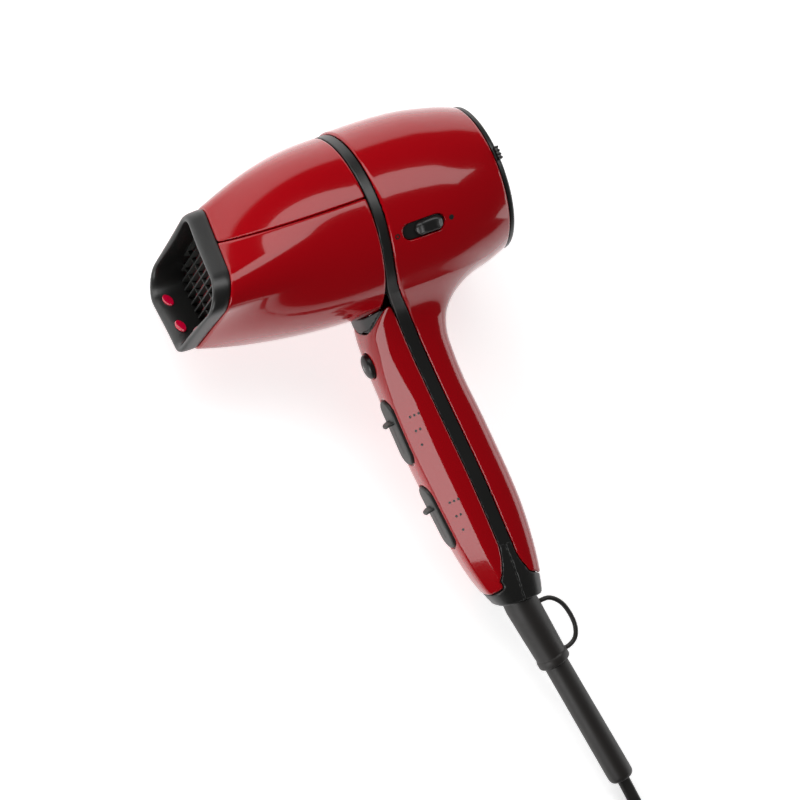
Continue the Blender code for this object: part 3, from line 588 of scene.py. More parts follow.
NICHROME = metal("nichrome_wire", (0.40, 0.34, 0.30), 0.4, 0.08, 2200)
BRASS = metal("brass_blade", (0.72, 0.56, 0.30), 0.25, 0.06, 1400)
INNER_RED = plastic("inner_red_mesh", (0.30, 0.012, 0.02), 0.4, 0.06, 0.15, 0.1, 1500)
PALE_PRINT = plastic("print_grey", (0.30, 0.31, 0.31), 0.45, 0.04, 0.1, 0.02, 900)
PRINT = plastic("print_black", (0.006, 0.006, 0.006), 0.45, 0.04, 0.1, 0.02, 900)

NODE_LOOKS = {
    "gloss_red": RED,
    "satin_black": BLACK,
    "switch_grey": DARK_GREY,
    "cord_rubber": RUBBER,
    "lens_red": LENS_RED,
    "heat_resistant_black": HEAT_BLACK,
    "mica": MICA,
    "circuit_board": CIRCUIT,
    "steel": STEEL,
    "nichrome": NICHROME,
    "brass": BRASS,
}
for row in frame["record"]["subparts"]:
    node = frame["nodes"][row["node"]]
    node.data.materials.clear()
    node.data.materials.append(NODE_LOOKS[row["material_slot"]])


def stands_for(made, body, slot, *nodes):
    """Rides the piece on a body and hides the frame's pieces that it replaces. The slot is not used."""
    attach(made, body)
    if nodes:
        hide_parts(*nodes)
    return made


# ---- shells ----

STEP, FINE = 1.0, 0.8
TIGHT = 0.15  # half the gap between neighbouring shells


def front_shells():
    def shell(p):
        x, _, z = p.T
        outer = front_field(p)
        station = barrel_station(x, z)
        wall = soft_max(outer, -(outer + WALL), 0.5)
        wall = soft_max(wall, BAND_FRONT + 0.3 - x, 1.4)
        return soft_max(wall, station - SHELL_FRONT, 1.4)

    def upper(p):
        return soft_max(shell(p), SEAM_Z + TIGHT - p[:, 2], 1.1)

    def lower(p):
        return soft_max(shell(p), p[:, 2] - SEAM_Z + TIGHT, 1.1)

    made = field_piece("barrel_upper_cover", upper, (2, -46, 16.6), (82, 46, 47), FINE, RED)
    stands_for(made, HOUSING, "gloss_red", "front_barrel_upper")
    made = field_piece("barrel_lower_shell", lower, (2, -47, -47), (97, 47, 19.2), FINE, RED)
    stands_for(made, HOUSING, "gloss_red", "front_barrel_lower")


def handle_below_barrel(p):
    return np.maximum(handle_field(p), p[:, 2] + 5)


def outer_rear(p):
    """The rear body flowing into the handle with a broad fillet."""
    return soft_min(rear_field(p), handle_below_barrel(p), 11.0)


def rear_shell():
    lock = lock_frame()

    def shell(p):
        x, _, z = p.T
        outer = outer_rear(p)
        wall = soft_max(outer, -(outer + WALL), 0.5)
        wall = soft_max(wall, edge_distance(p, REAR_EDGE) + TIGHT, 1.6)
        wall = soft_max(wall, REAR_END - x, 1.6)
        wall = np.maximum(wall, -206 - z)
        u, v, w = local(p, lock)
        hole = np.maximum(stadium_field(u, v, LOCK_SLOT_LENGTH, LOCK_SLOT_WIDTH), -6 - w)
        return soft_max(wall, -hole, 0.7)

    made = field_piece("rear_shell", shell, (-73, -48, -207), (0, 48, 48), STEP, RED)
    stands_for(made, HOUSING, "gloss_red", "rear_body_shell")


def band_and_strip():
    def shell(p):
        x, y, z = p.T
        ring = np.hypot(y, z) - BAND_R
        outer = soft_min(ring, handle_below_barrel(p) + 0.8, 12.0)
        wall = np.maximum(outer, -(outer + 2.6))
        ahead, half = strip_sides(p)
        wall = soft_max(wall, np.abs(ahead) * 0.97 - half + TIGHT, 0.4)
        return np.maximum(wall, -179 - z)

    made = field_piece("band_and_strip", shell, (-34, -47, -180), (3, 47, 47), FINE, BLACK)
    stands_for(made, HOUSING, "satin_black", "middle_band")


FACET_ANGLE, FACET_DEPTH = math.radians(52), 1.5


def facet_field(p):
    """A flat facet down each front corner of the handle, fading out at the button."""
    x, y, z = p.T
    middle, deep, half = handle_section(z)
    c, s = math.cos(FACET_ANGLE), math.sin(FACET_ANGLE)
    power = HANDLE_POWER / (HANDLE_POWER - 1)
    reach = ((deep * c) ** power + (half * s) ** power) ** (1 / power)
    depth = FACET_DEPTH * np.clip((-66 - z) / 26, 0, 1)
    return (x - middle) * c + np.abs(y) * s - reach + depth


def handle_front_field(p):
    return soft_max(handle_field(p), facet_field(p), 0.5)


def lobe_distance(p):
    x, _, z = p.T
    slope = np.gradient(LOBE_Z, LOBE_AT)
    return (z - np.interp(x, LOBE_AT, LOBE_Z)) / np.hypot(1, np.interp(x, LOBE_AT, slope))


def handle_front_shell():
    places = [front_of_handle(z) for z in (HEAT_Z, SPEED_Z)]
    cool = front_of_handle(COOL_Z)

    def shell(p):
        x, y, z = p.T
        outer = handle_front_field(p)
        wall = soft_max(outer, -(outer + HANDLE_WALL), 0.5)
        wall = soft_max(wall, TIGHT - edge_distance(p, FRONT_EDGE), 1.6)
        wall = soft_max(wall, lobe_distance(p), 3.0)
        wall = soft_max(wall, FRONT_R + 0.4 - np.hypot(y, z), 1.0)
        for place in places:
            u, v, w = local(p, place)
            pocket = np.maximum(stadium_field(u, v, SWITCH_LENGTH + 1.4, SWITCH_WIDTH + 1.4), -1.3 - w)
            slot = np.maximum(stadium_field(u - 1.6, v, 26, 9), -9 - w)
            wall = soft_max(wall, -np.minimum(pocket, slot), 0.5)
        u, v, w = local(p, cool)
        hole = np.hypot(u / (COOL_LENGTH + 0.9) * 2, v / (COOL_WIDTH + 0.9) * 2) - 1
        return soft_max(wall, -np.maximum(hole * 5.5, -9 - w), 0.8)

    made = field_piece("handle_front", shell, (-27, -26, -208), (13, 26, -37), FINE, RED)
    stands_for(made, HOUSING, "gloss_red", "handle_front_shell")


LIP_REACH, LIP_DEPTH = 2.4, 3.9  # a lip behind the neighbouring shell closes the seam to light


def neck_collar():
    def shell(p):
        x, y, z = p.T
        outer = handle_field(p) + 0.7
        wall = np.maximum(outer, -(outer + LIP_DEPTH))
        ahead, half = strip_sides(p)
        wall = soft_max(wall, half + TIGHT - ahead, 0.5)
        below = TIGHT * 2 - lobe_distance(p)
        lip = np.maximum(below - LIP_REACH, handle_field(p) + HANDLE_WALL + 0.3)
        wall = soft_max(wall, np.minimum(below, lip), 0.5)
        wall = soft_max(wall, FRONT_R + 0.4 - np.hypot(y, z), 1.0)
        return np.maximum(wall, -62 - z)

    made = field_piece("neck", shell, (-3, -26, -62), (13, 26, -36), FINE, BLACK)
    stands_for(made, HOUSING, "satin_black", "neck_collar")


def end_cap():
    centre = [(z, x) for z, x, _ in STRIP] + [(-190, -31.0), (-214, -33.4)]
    rows = np.array(sorted(centre))

    def cap(p, side):
        x, y, z = p.T
        outer = handle_field(p) + 0.5
        wall = soft_max(outer, -211 - z, 1.6)
        wall = soft_max(wall, edge_distance(p, FRONT_EDGE) + TIGHT, 0.5)
        above = TIGHT - edge_distance(p, REAR_EDGE)
        lip = np.maximum(above - LIP_REACH, handle_field(p) + WALL + 0.3)
        wall = soft_max(wall, np.minimum(above, lip), 0.5)
        wall = np.maximum(wall, z + 178.4)
        hollow = np.maximum(outer + LIP_DEPTH, -207 - z)
        wall = np.maximum(wall, -hollow)
        middle = np.interp(z, rows[:, 0], rows[:, 1])
        return soft_max(wall, side * (x - middle) + 0.08, 0.4)

    for name, side in (("end_cap_front", -1), ("end_cap_rear", 1)):
        made = field_piece(name, lambda p, s=side: cap(p, s), (-48, -16, -212), (2, 16, -177), FINE, BLACK)
        stands_for(made, HOUSING, "satin_black", "handle_end_cap")


def lock_frame():
    out = Vector((0, math.cos(LOCK_ANGLE), math.sin(LOCK_ANGLE)))
    return axes_at((LOCK_X, *(out * REAR_R)[1:]), (1, 0, 0), out)


# ---- nozzle ----


def barrel_ring(x, inset, count=144):
    ring = []
    share, slant = float(share_at(x)), float(slant_at(x))
    for a in circle(count):
        r = float(barrel_radius(x, np.float64(a if a <= math.pi else 2 * math.pi - a))) - inset
        z = r * math.cos(a) - share * MOUTH_DROP
        ring.append((x - slant * z, r * math.sin(a), z))
    return ring


def nozzle():
    start = SHELL_FRONT + 0.2
    skirt = ((start, 3.0), (start, 1.1), (start + 0.5, 0.75), (87, 0.7), (90, 0.85), (91.6, 1.1))
    lip = ((92.5, 1.5), (92.9, 2.1), (93.0, 2.8), (92.9, 3.5), (92.4, 4.2), (91.4, 4.7), (90, 4.95))
    inside = ((86, 5.15), (80, 5.3), (76, 5.4), (76, 3.6), (80, 3.4))
    rings = [barrel_ring(x, d) for x, d in (*skirt, *lip, *inside)]
    stands_for(loft("mouth_ring", rings, BLACK, wrap=True, sharp=50), HOUSING, "satin_black", "nozzle_ring")
    for name, depth, y, z in (("low", 5.55, 11.6, -22.45), ("side", 6.6, 33.4, -12.4)):
        for side, label in ((1, "left"), (-1, "right")):
            inward = Vector((0, -side * 0.48, 0.88))
            place = axes_at((MOUTH - depth - MOUTH_SLANT * z, side * y, z), (1, 0, 0), inward)
            dome = rounded_top(shrinking(oval, 4.8, 9.6), -0.4, 0.6, 0.6)
            made = layered(f"lens_{name}_{label}", dome, place, LENS_RED)
            stands_for(made, HOUSING, "lens_red", f"infrared_lens_{name}_{label}")


GRILLE_X, GRILLE_ANGLE = 75.6, math.radians(32)


def grille():
    """Deep slats and thin cross bars, both sets lying along the sides of the mouth."""
    place = axes_at((GRILLE_X, 0, -1.5), (0, 1, 0), (1, 0, slant_at(GRILLE_X)))
    coarse = ((GRILLE_ANGLE, 5.2, 0.9, 3.2), (-GRILLE_ANGLE, 9.6, 0.6, 2.2))
    # the slats take the lighter switch grey rather than satin black: partly painted light, standing in for
    # light catching their edges
    stands_for(slat_grid("grille_slats", coarse, place, DARK_GREY), HOUSING, "satin_black")
    behind = place @ Matrix.Translation((0, 0, -3.2))
    fine = ((GRILLE_ANGLE + 0.12, 1.7, 0.9, 0.5), (-GRILLE_ANGLE - 0.12, 1.7, 0.9, 0.5))
    stands_for(slat_grid("inner_mesh", fine, behind, INNER_RED), HOUSING, "heat_resistant_black")
    rim = [barrel_ring(x, d, 96) for x, d in ((68.8, 3.0), (75.8, 3.0), (75.8, 5.3), (68.8, 5.2))]
    made = loft("grille_rim", rim, BLACK, wrap=True)
    stands_for(made, HOUSING, "satin_black", "outlet_grille")


def bar_faces(n):
    """A square bar's faces, its two ends' corners numbered from n."""
    sides = [(n + i, n + (i + 1) % 4, n + 4 + (i + 1) % 4, n + 4 + i) for i in range(4)]
    return [(n, n + 3, n + 2, n + 1), (n + 4, n + 5, n + 6, n + 7), *sides]


def slat_grid(name, sets, place, material):
    """Straight slats across the barrel in sets of (angle, spacing, width, depth)."""
    slats = []
    for turn, spacing, wide, deep in sets:
        along, across = (math.cos(turn), math.sin(turn)), (-math.sin(turn), math.cos(turn))
        count = int(46 / spacing)
        for i in range(-count, count + 1):
            middle = i * spacing
            reach = grille_reach(along, across, middle, place)
            if reach:
                slats.append((along, across, middle, wide, deep, *reach))
    points, faces = [], []
    for along, across, middle, wide, deep, start, end in slats:
        for run in (start, end):
            for side, depth in ((-1, -deep / 2), (1, -deep / 2), (1, deep / 2), (-1, deep / 2)):
                offset = middle + side * wide / 2
                flat = [run * along[k] + offset * across[k] for k in (0, 1)]
                points.append(place @ Vector((*flat, depth)))
        faces += bar_faces(len(points) - 8)
    return mesh_piece(name, points, faces, material)


def grille_reach(along, across, middle, place):
    """Where a slat at this distance from the middle enters and leaves the barrel, if it does."""
    runs = np.arange(-60, 60.1, 0.4)
    m = np.array(place)
    flat = np.outer(runs, along) + middle * np.array(across)
    points = np.column_stack([flat, np.zeros(len(runs))]) @ m[:3, :3].T + m[:3, 3]
    inside = front_field(points) < -5.0
    if inside.sum() < 8:
        return None
    return float(runs[inside][0]), float(runs[inside][-1])


# ---- handle's controls ----


def rounded_top(shape, low, high, edge, steps=5):
    """Layers of a pad whose outline is shape(inset), its top edge rounded."""
    layers = [(shape(0), low)]
    for i in range(steps + 1):
        a = math.pi / 2 * i / steps
        inset = min(edge * (1 - math.cos(a)), edge * 0.999)
        layers.append((shape(inset), high - edge + edge * math.sin(a)))
    return layers


def marks_on_handle(name, dots):
    """Small printed dots on the handle's left side: (x, z, radius) each."""
    points, faces = [], []
    for x, z, radius in dots:
        place = surface_place(x, z)
        first = len(points)
        ring = [(radius * math.cos(a), radius * math.sin(a), 0.12) for a in circle(20)]
        points += [place @ Vector(p) for p in ring]
        faces.append(tuple(range(first, first + 20)))
    stands_for(mesh_piece(name, points, faces, PRINT), HOUSING, "satin_black")


def surface_place(x, z):
    """A frame on the handle's left side at (x, z): its z axis straight out."""

    def field(at):
        return handle_front_field(at[None])[0]

    low, high = 0.0, 60.0
    for _ in range(40):
        middle = (low + high) / 2
        if field(np.array([x, middle, z])) < 0:
            low = middle
        else:
            high = middle
    at = np.array([x, low, z])
    normal = [field(at + shift) - field(at - shift) for shift in 0.05 * np.eye(3)]
    return axes_at(tuple(at), (0, 0, -1), tuple(normal))


def controls():
    for name, z, fin_z in (("heat", HEAT_Z, HEAT_FIN_Z), ("speed", SPEED_Z, SPEED_FIN_Z)):
        place = front_of_handle(z)
        cover = rounded_top(shrinking(stadium, SWITCH_LENGTH, SWITCH_WIDTH), -0.9, SWITCH_PROUD, 1.0)
        made = layered(f"{name}_cover", cover, place, DARK_GREY)
        stands_for(made, HOUSING, "switch_grey", f"{name}_switch_cover")
        at = (fin_z - z) / place.to_3x3().col[0].z
        # painted shade: a thin black strip laid on the cover stands in for the dark of the fin's open slot
        painted_slot_shade = stadium(SWITCH_TRAVEL + 4, 1.6)
        slot_place = place @ Matrix.Translation((at + SWITCH_TRAVEL / 2, 0, 0))
        layers = [(painted_slot_shade, SWITCH_PROUD - 0.2), (painted_slot_shade, SWITCH_PROUD + 0.05)]
        made = layered(f"{name}_groove", layers, slot_place, PRINT)
        stands_for(made, HOUSING, "satin_black")
        fin_place = place @ Matrix.Translation((at, 0, 0)) @ Matrix.Rotation(math.pi / 2, 4, "Z")
        fin = []
        for i in range(9):
            t = i / 8
            length, thick = 8.2 - 4.2 * t * t, 1.7 - 0.8 * t
            outline = [(x, y - t * t) for x, y in stadium(length, thick)]
            fin.append((outline, SWITCH_PROUD - 0.6 + 4.6 * math.sin(t * math.pi / 2)))
        made = layered(f"{name}_fin", fin, fin_place, DARK_GREY)
        stands_for(made, f"{name}_slider", "switch_grey", f"{name}_slider")
    button()
    for name, z in (("heat", HEAT_FIN_Z), ("speed", SPEED_FIN_Z)):
        dots = []
        for row in range(3):
            level = z + 2.2 - row * SWITCH_TRAVEL / 2
            first = float(np.interp(level, HANDLE_AT, HANDLE_FRONT)) - 5.6
            dots += [(first - 1.9 * k, level + 0.5 * k, 0.66) for k in range(3 - row)]
        marks_on_handle(f"{name}_marks", dots)


def button():
    """The cool shot button: a dome with a plain star of three bars on it."""
    place = front_of_handle(COOL_Z)
    foot, edge = -3.2, 0.9
    layers = [(oval(COOL_LENGTH, COOL_WIDTH, 48), foot), (oval(COOL_LENGTH, COOL_WIDTH, 48), edge)]
    for i in range(1, 10):
        a = math.pi / 2 * i / 9
        share = max(math.cos(a), 0.02)
        share = 0.35 * share + 0.65 * share**0.5
        outline = oval(COOL_LENGTH * share, COOL_WIDTH * share, 48)
        layers.append((outline, edge + (COOL_PROUD - edge) * math.sin(a)))
    made = layered("cool_button", layers, place, BLACK)
    stands_for(made, "cool_shot_button", "satin_black", "cool_shot_button")
    points, faces = [], []
    for arm in range(3):
        a = math.pi * arm / 3 + math.pi / 6
        along, across = (math.cos(a), math.sin(a)), (-math.sin(a), math.cos(a))
        first = len(points)
        for step in range(9):
            run = -2.9 + 5.8 * step / 8
            for side in (-0.22, 0.22):
                x, y = run * along[0] + side * across[0], run * along[1] + side * across[1]
                r = min(1, math.hypot(x / (COOL_LENGTH / 2), y / (COOL_WIDTH / 2)))
                points.append(place @ Vector((x, y, edge + 0.07 + (COOL_PROUD - edge) * (1 - r**2.6))))
        faces += [(i, i + 1, i + 3, i + 2) for i in range(first, first + 16, 2)]
    made = mesh_piece("cool_button_star", points, faces, PALE_PRINT)
    stands_for(made, "cool_shot_button", "switch_grey")


def lock():
    place = lock_frame()
    plate = shrinking(stadium, LOCK_SLOT_LENGTH - 0.5, LOCK_SLOT_WIDTH - 0.5)
    made = layered("lock_floor", rounded_top(plate, -2.6, -1.4, 0.3), place, BLACK)
    stands_for(made, HOUSING, "satin_black", "lock_slot_plate")
    behind = -(LOCK_SLOT_LENGTH - LOCK_KNOB_LENGTH) / 2 + 1.1
    lock_knob(place @ Matrix.Translation((behind, 0, 0)))
    for name, x, inner in (("closed", -15.6, 0.0), ("open", 15.0, 0.75)):
        spot = place @ Matrix.Translation((x, 0, 0))
        points = []
        for r in (1.35, inner):
            points += [on_rear(spot @ Vector((r * math.cos(a), r * math.sin(a), 0))) for a in circle(24)]
        faces = [(i, (i + 1) % 24, 24 + (i + 1) % 24, 24 + i) for i in range(24)]
        stands_for(mesh_piece(f"lock_mark_{name}", points, faces, PRINT), HOUSING, "satin_black")


def lock_knob(place):
    """A knob with a ridge near each end and a dip in the middle, closed by a wall and a foot."""
    rows, columns, foot = 17, 13, -1.0
    half_length, half_width = LOCK_KNOB_LENGTH / 2, LOCK_KNOB_WIDTH / 2
    points, faces = [], []
    for i in range(rows):
        x = (-1 + 2 * i / (rows - 1)) * half_length
        over = max(0.0, abs(x) - (half_length - half_width))
        half = math.sqrt(max(half_width**2 - over**2, 0.25))
        lip = math.exp(-(((abs(x) - 4.7) / 0.75) ** 2))
        height = 0.95 + 0.75 * lip - 0.35 * math.exp(-((x / 2.6) ** 2))
        for j in range(columns):
            v = -1 + 2 * j / (columns - 1)
            share = 0.25 + 0.75 * (1 - abs(v) ** 6) * (1 - abs(x / half_length) ** 14)
            points.append(Vector((x, v * half, foot + (height - foot) * share)))
    for i in range(rows - 1):
        for a in range(i * columns, (i + 1) * columns - 1):
            faces.append((a, a + columns, a + columns + 1, a + 1))
    total = len(points)
    last = total - columns
    rim = [*range(columns), *range(2 * columns - 1, total, columns)]
    rim += [*range(total - 2, last - 1, -1), *range(last - columns, 0, -columns)]
    n = len(rim)
    points += [Vector((points[i].x, points[i].y, foot)) for i in rim]
    faces += [(rim[i], rim[(i + 1) % n], total + (i + 1) % n, total + i) for i in range(n)]
    faces.append(tuple(range(total, total + n))[::-1])
    made = mesh_piece("lock_knob", [place @ p for p in points], faces, BLACK, sharp=60)
    stands_for(made, "lock_slider", "satin_black", "lock_slider")


def on_rear(p):
    """The point moved straight out from the barrel's axis to just above the rear body."""
    r = float(np.interp(p.x, REAR_AT, REAR_RADIUS)) + 0.07
    share = r / math.hypot(p.y, p.z)
    return Vector((p.x, p.y * share, p.z * share))


# ---- rear filter ----


def filter_cover():
    front, back = REAR_END - 0.3, REAR_END - 0.3 - COVER_THICK
    body = "filter_cover"
    rim = [(front, 37.7), (back + 1.3, COVER_R), (back + 0.5, COVER_R - 0.35)]
    rim += [(back + 0.1, COVER_R - 1.0), (back, COVER_R - 1.8)]
    rim += [(back, 33.4), (back + 0.5, 32.4), (front, 32.0)]
    made = loft("cover_rim", turned_rings(rim, count=96), BLACK, wrap=True)
    stands_for(made, body, "satin_black", "filter_cover")
    for number, r in enumerate((9.4, 13.2, 17.0, 20.8, 24.6, 28.4)):
        outer, inner = r + 0.6, r - 0.6
        bar = [(front, outer), (back + 0.8, outer), (back + 0.4, r), (back + 0.8, inner), (front, inner)]
        made = loft(f"cover_ring_{number}", turned_rings(bar, count=72), BLACK, wrap=True)
        stands_for(made, body, "satin_black")
    hub = [(front, 6.0), (back + 0.6, 6.0), (back + 0.1, 5.2), (back + 0.25, 3.0), (back + 0.5, 0.05)]
    stands_for(loft("cover_hub", turned_rings(hub, count=40), BLACK), body, "satin_black")
    for i in range(12):
        turn = Matrix.Rotation(2 * math.pi * (i + 0.5) / 12, 4, "X")
        section = ((front, -0.6), (back + 0.7, -0.6), (back + 0.4, 0), (back + 0.7, 0.6), (front, 0.6))
        rings = [[turn @ Vector((x, y, r)) for x, y in section] for r in (5.4, 33.2)]
        stands_for(loft(f"cover_spoke_{i}", rings, BLACK), body, "satin_black")
    screen()
    finger_tab()
    hinge()


def screen():
    """A fine woven screen just in front of the cover's bars."""
    x, pitch, half, radius = REAR_END + 1.1, 1.9, 0.15, 34.6
    points, faces = [], []
    for i in range(-18, 19):
        offset = i * pitch
        if abs(offset) > radius - 1:
            continue
        reach = math.sqrt(radius**2 - offset**2)
        for upright in (0, 1):
            first = len(points)
            for run in (-reach, reach):
                for dx, dy in ((-half, -half), (half, -half), (half, half), (-half, half)):
                    side = offset + dy
                    points.append((x + dx, side, run) if upright else (x + dx, run, side))
            faces += bar_faces(first)
    made = mesh_piece("woven_screen", points, faces, STEEL)
    stands_for(made, "filter_cover", "steel", "filter_screen")


def finger_tab():
    a = math.radians(24)
    grip = axes_at((-74.0, 0, 0), (0, math.cos(a), math.sin(a)), (-1, 0, 0))
    ridge = rounded_top(lambda inset: stadium(2.5 - 2 * inset, 1.2 - 1.6 * inset), -1.0, 1.2, 0.35)
    for i in range(4):
        spot = grip @ Matrix.Translation((COVER_R + 1.45, -2.85 + 1.9 * i, 0))
        stands_for(layered(f"tab_ridge_{i}", ridge, spot, BLACK), "filter_cover", "satin_black")
    base = rounded_outline(2.2, 7.0, 0.8)
    spot = grip @ Matrix.Translation((COVER_R + 1.2, 0, 0))
    made = layered("tab_base", [(base, -1.0), (base, 0.7)], spot, BLACK)
    stands_for(made, "filter_cover", "satin_black", "filter_finger_tab")


def rounded_outline(width, height, radius, count=6):
    outline = []
    for corner, (sx, sy) in enumerate(((1, 1), (-1, 1), (-1, -1), (1, -1))):
        for i in range(count + 1):
            a = math.pi / 2 * (corner + i / count)
            x, y = sx * (width / 2 - radius), sy * (height / 2 - radius)
            outline.append((x + radius * math.cos(a), y + radius * math.sin(a)))
    return outline


def hinge():
    place = axes_at((-73.7, -39.5, -4), (0, 0, 1), (1, 0, 0))
    rings = turned_rings([(0, 1.2), (0, 1.8), (8, 1.8), (8, 1.2)], place, 24)
    stands_for(loft("hinge_knuckle", rings, BLACK, wrap=True), "filter_cover", "satin_black")
    link = [(-74.3, -38.2), (-73.1, -38.2), (-73.1, -36.5), (-74.3, -36.5)]
    rings = [[(x, y, z) for x, y in link] for z in (-4, 4)]
    stands_for(loft("hinge_link", rings, BLACK), "filter_cover", "satin_black")


# ---- sleeves ----


def sleeves():
    """The wide sleeve with its hanging loop, then the narrow one."""
    down = Vector((-math.sin(SLEEVE_LEAN), 0, -math.cos(SLEEVE_LEAN)))
    place = axes_at(SLEEVE_TOP, down, (0, 1, 0))
    profile = [(0, 9.0), (4, 9.0), (12, 8.8), (20, 8.6), (28, 8.35), (34, 8.15), (34.3, 8.15)]
    profile += [(34.7, 8.45), (35.2, 8.6), (38.0, 8.6), (38.6, 8.4), (39.0, 8.0), (39.0, 6.0)]
    top, *rings = turned_rings(profile, place, 64)
    level = [Vector((p.x, p.y, SLEEVE_TOP.z)) for p in top]
    made = loft("sleeve_one", [level, *rings], RUBBER, sharp=50)
    stands_for(made, HOUSING, "cord_rubber", "strain_relief_sleeve")
    line = smooth_line([(x, 0, z) for x, z in LOOP], 8)
    rings = []
    for i, p in enumerate(line):
        along = (line[min(i + 1, len(line) - 1)] - line[max(i - 1, 0)]).normalized()
        side = Vector((0, 1, 0))
        out = along.cross(side)
        rings.append([p + side * 1.35 * math.cos(a) + out * 1.2 * math.sin(a) for a in circle(20)])
    stands_for(loft("hanging_loop", rings, RUBBER, sharp=60), HOUSING, "cord_rubber")
    start, end = SLEEVE_ONE + 0.3, SLEEVE_ONE + SLEEVE_TWO
    profile = [(start, 5.9), (start + 0.3, 6.35), (start + 1.0, 6.45), (end - 6, 6.75), (end - 3, 6.7)]
    bends = [math.pi / 2 * i / 8 for i in range(1, 9)]
    profile += [(end - 3 + 3 * math.sin(a), 4.7 + 2 * math.cos(a)) for a in bends]
    made = loft("sleeve_two", turned_rings(profile, place, 64), RUBBER, sharp=60)
    stands_for(made, HOUSING, "cord_rubber", "cord_sleeve")


# ---- plug and tie ----


def plug():
    place = axes_at(PLUG_AT, (1, 0, 0), (0, 0, 1))
    sections = [(0, 0.84), (0.5, 0.88), (1.4, 0.93), (2.4, 0.955), (12, 0.995), (22, 1.0), (30, 0.99)]
    sections += [(36, 0.93), (40, 0.83), (42.4, 0.7), (43.6, 0.58), (44, 0.5)]
    rings = []
    for x, share in sections:
        outline = rounded_outline(PLUG_WIDTH * share, PLUG_HEIGHT * share, 6.5 * share, 8)
        rings.append([place @ Vector((x, y, z)) for y, z in outline])
    made = loft("plug_case", rings, RUBBER, on_floor=True, sharp=60)
    pieces = [stands_for(made, HOUSING, "cord_rubber", "plug_body")]
    nub = [(38, 6.2), (46, 5.6), (46.2, 4.9), (47.4, 4.9), (47.6, 5.4), (50, 5.1)]
    nub += [(50.2, 4.5), (51.4, 4.5), (51.6, 4.9), (54, 4.5)]
    made = loft("plug_strain_relief", turned_rings(nub, place, 32), RUBBER, on_floor=True, sharp=50)
    pieces.append(stands_for(made, HOUSING, "cord_rubber"))
    for x, name, finish in ((12, "plug_reset_button", LENS_RED), (24, "plug_test_button", DARK_GREY)):
        spot = place @ Matrix.Translation((x, 0, PLUG_HEIGHT / 2))
        pad = rounded_top(lambda d: rounded_outline(8 - 2 * d, 10 - 2 * d, 1.4 - 0.8 * d, 5), -2.4, 0.6, 0.5)
        made = layered(f"{name}_cap", pad, spot, finish, on_floor=True)
        pieces.append(stands_for(made, name, "lens_red" if finish is LENS_RED else "switch_grey", name))
    return pieces


def tie():
    """A strap with rounded corners round the coil."""
    turn = Matrix.Translation(COIL_AT) @ Matrix.Rotation(math.radians(100), 4, "Z")
    across = turn @ Matrix.Translation((41.2, 0, 8.05))
    outer, inner = (20.1, 16.0, 3.4), (18.8, 14.7, 2.2)
    rows = [(y, edge, *outer) for y, edge in ((-4.5, 0.3), (-4.2, 0), (4.2, 0), (4.5, 0.3))]
    rows += [(y, edge, *inner) for y, edge in ((4.5, -0.3), (4.2, 0), (-4.2, 0), (-4.5, -0.3))]
    rings = []
    for y, edge, width, height, radius in rows:
        outline = rounded_outline(width - edge, height - edge, radius)
        rings.append([across @ Vector((x, y, z)) for x, z in outline])
    made = loft("cord_strap", rings, RUBBER, wrap=True, on_floor=True, sharp=50)
    return stands_for(made, HOUSING, "satin_black", "cord_tie")


# ---- cord ----


def cord_path():
    """The lead, 4 layers of turns in the coil and the tail, as points in the floor's millimetres."""
    drop = (CORD_WIDTH - CORD_THICK) / 2
    lead = [Vector((x, y, z - drop * min(1, max(0, (6.2 - z) / 2.4)))) for x, y, z in LEAD]
    layers, layer_turns, pitch = 4, 1.5725, 6.9
    outer = 41.2 + layer_turns * pitch / 2
    start = math.radians(14.5)
    per_turn = 40
    steps = int(layers * layer_turns * per_turn)
    coil = []
    for i in range(steps + 1):
        t = i / steps * layers
        layer = min(int(t), layers - 1)
        along = t - layer
        inwards = layer % 2 == 0
        r = outer - layer_turns * pitch * (along if inwards else 1 - along)
        a = start - 2 * math.pi * layer_turns * t
        lift = max(0.0, (along - 0.9) / 0.1) if layer < layers - 1 else 0.0
        z = 2.7 + 3.5 * (layer + lift * lift * (3 - 2 * lift))
        coil.append(COIL_AT + Vector((r * math.cos(a), r * math.sin(a), z)))
    tail = [Vector(p) for p in TAIL]
    return smooth_line([*lead, *coil[1:], *tail], 2)


def flat_cord(pieces):
    """Two cores side by side under one skin, swept along the path. The pieces are not used."""
    path = cord_path()
    reach, core = (CORD_WIDTH - CORD_THICK) / 2, CORD_THICK / 2
    outline = []
    for side in (1, -1):
        for i in range(9):
            a = math.pi * (0.44 - 0.88 * i / 8)
            outline.append((side * (reach + core * math.cos(a)), side * core * math.sin(a)))
        outline.append((0, -side * core * 0.72))
    rings = []
    for i, p in enumerate(path):
        along = (path[min(i + 1, len(path) - 1)] - path[max(i - 1, 0)]).normalized()
        side = Vector((0, 0, 1)).cross(along).normalized()
        up = along.cross(side)
        rings.append([p + x * side + y * up for x, y in outline])
    made = loft("mains_cord", rings, RUBBER, on_floor=True, sharp=60)
    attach(made, HOUSING)
    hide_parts("cord_lead", "cord_coil", "cord_tail")


# ---- stage ----

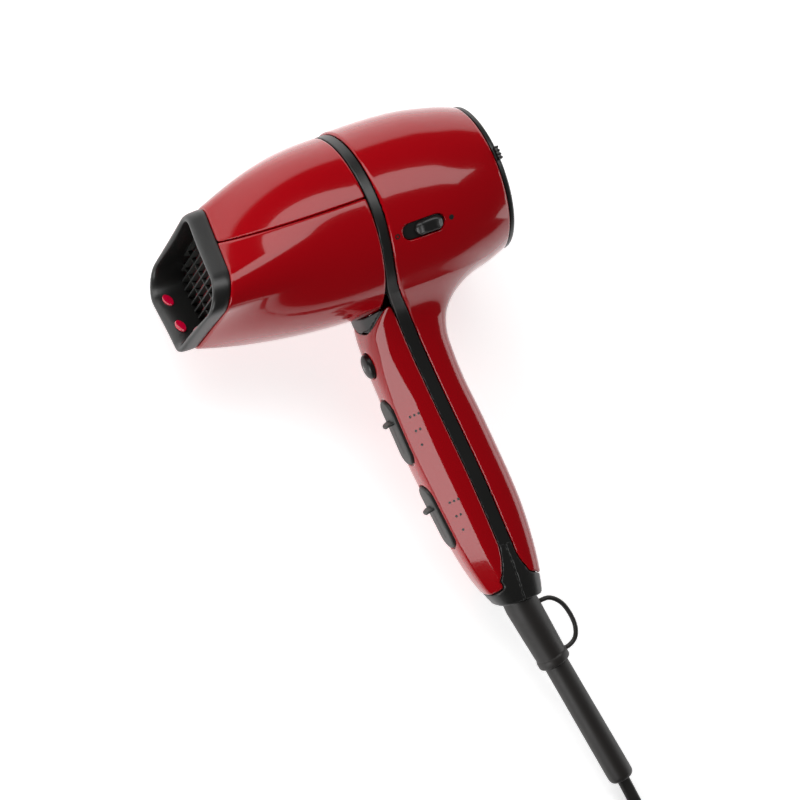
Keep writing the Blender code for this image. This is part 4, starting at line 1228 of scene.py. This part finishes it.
SOFT_BOX_AWAY = 1.6


def soft_box(name, right, up, back, width, height, radiance):
    """A panel this way from the middle of the view, in the camera's directions, facing the dryer."""
    camera = bpy.context.scene.camera.matrix_world.to_3x3().normalized()
    middle = TO_FLOOR @ (Vector((0, 0, -60)) * MM)
    way = (camera @ Vector((right, up, back))).normalized()
    data = bpy.data.lights.new(name, "AREA")
    data.shape, data.size, data.size_y = "RECTANGLE", width, height
    data.energy = radiance * width * height * math.pi
    made = bpy.data.objects.new(name, data)
    bpy.context.collection.objects.link(made)
    across = (camera @ Vector((1, 0, 0))).cross(way).cross(way).normalized()
    axes = Matrix((across, way.cross(across), way)).transposed().to_4x4()
    axes.translation = middle + way * SOFT_BOX_AWAY
    made.matrix_world = axes


def stage():
    bpy.ops.mesh.primitive_plane_add(size=12, location=(0, 0, -0.0002))
    floor = bpy.context.object
    floor.name = "floor"
    pale, _, _, shader = new_material("pale_floor")
    shader.inputs["Base Color"].default_value = (0.9, 0.9, 0.9, 1)
    shader.inputs["Roughness"].default_value = 0.9
    shader.inputs["Emission Color"].default_value = (1, 1, 1, 1)
    shader.inputs["Emission Strength"].default_value = 0.6
    floor.data.materials.append(pale)
    world = bpy.data.worlds.new("studio")
    bpy.context.scene.world = world
    world.use_nodes = True
    world.node_tree.nodes["Background"].inputs["Color"].default_value = (1, 1, 1, 1)
    world.node_tree.nodes["Background"].inputs["Strength"].default_value = 0.06
    soft_box("above", -0.2, 0.66, 0.72, 7.0, 0.8, 3.6)
    soft_box("lower_left", -0.44, -0.66, 0.62, 1.0, 0.8, 5.0)
    soft_box("left", -1.0, -0.1, -0.15, 0.7, 1.0, 3.5)
    soft_box("right", 1.0, 0.0, -0.3, 0.7, 1.2, 2.5)
    bpy.context.scene.view_settings.view_transform = "Standard"


make_camera()
flat_cord([*plug(), tie()])
front_shells()
rear_shell()
band_and_strip()
handle_front_shell()
neck_collar()
end_cap()
nozzle()
grille()
controls()
lock()
filter_cover()
sleeves()
stage()
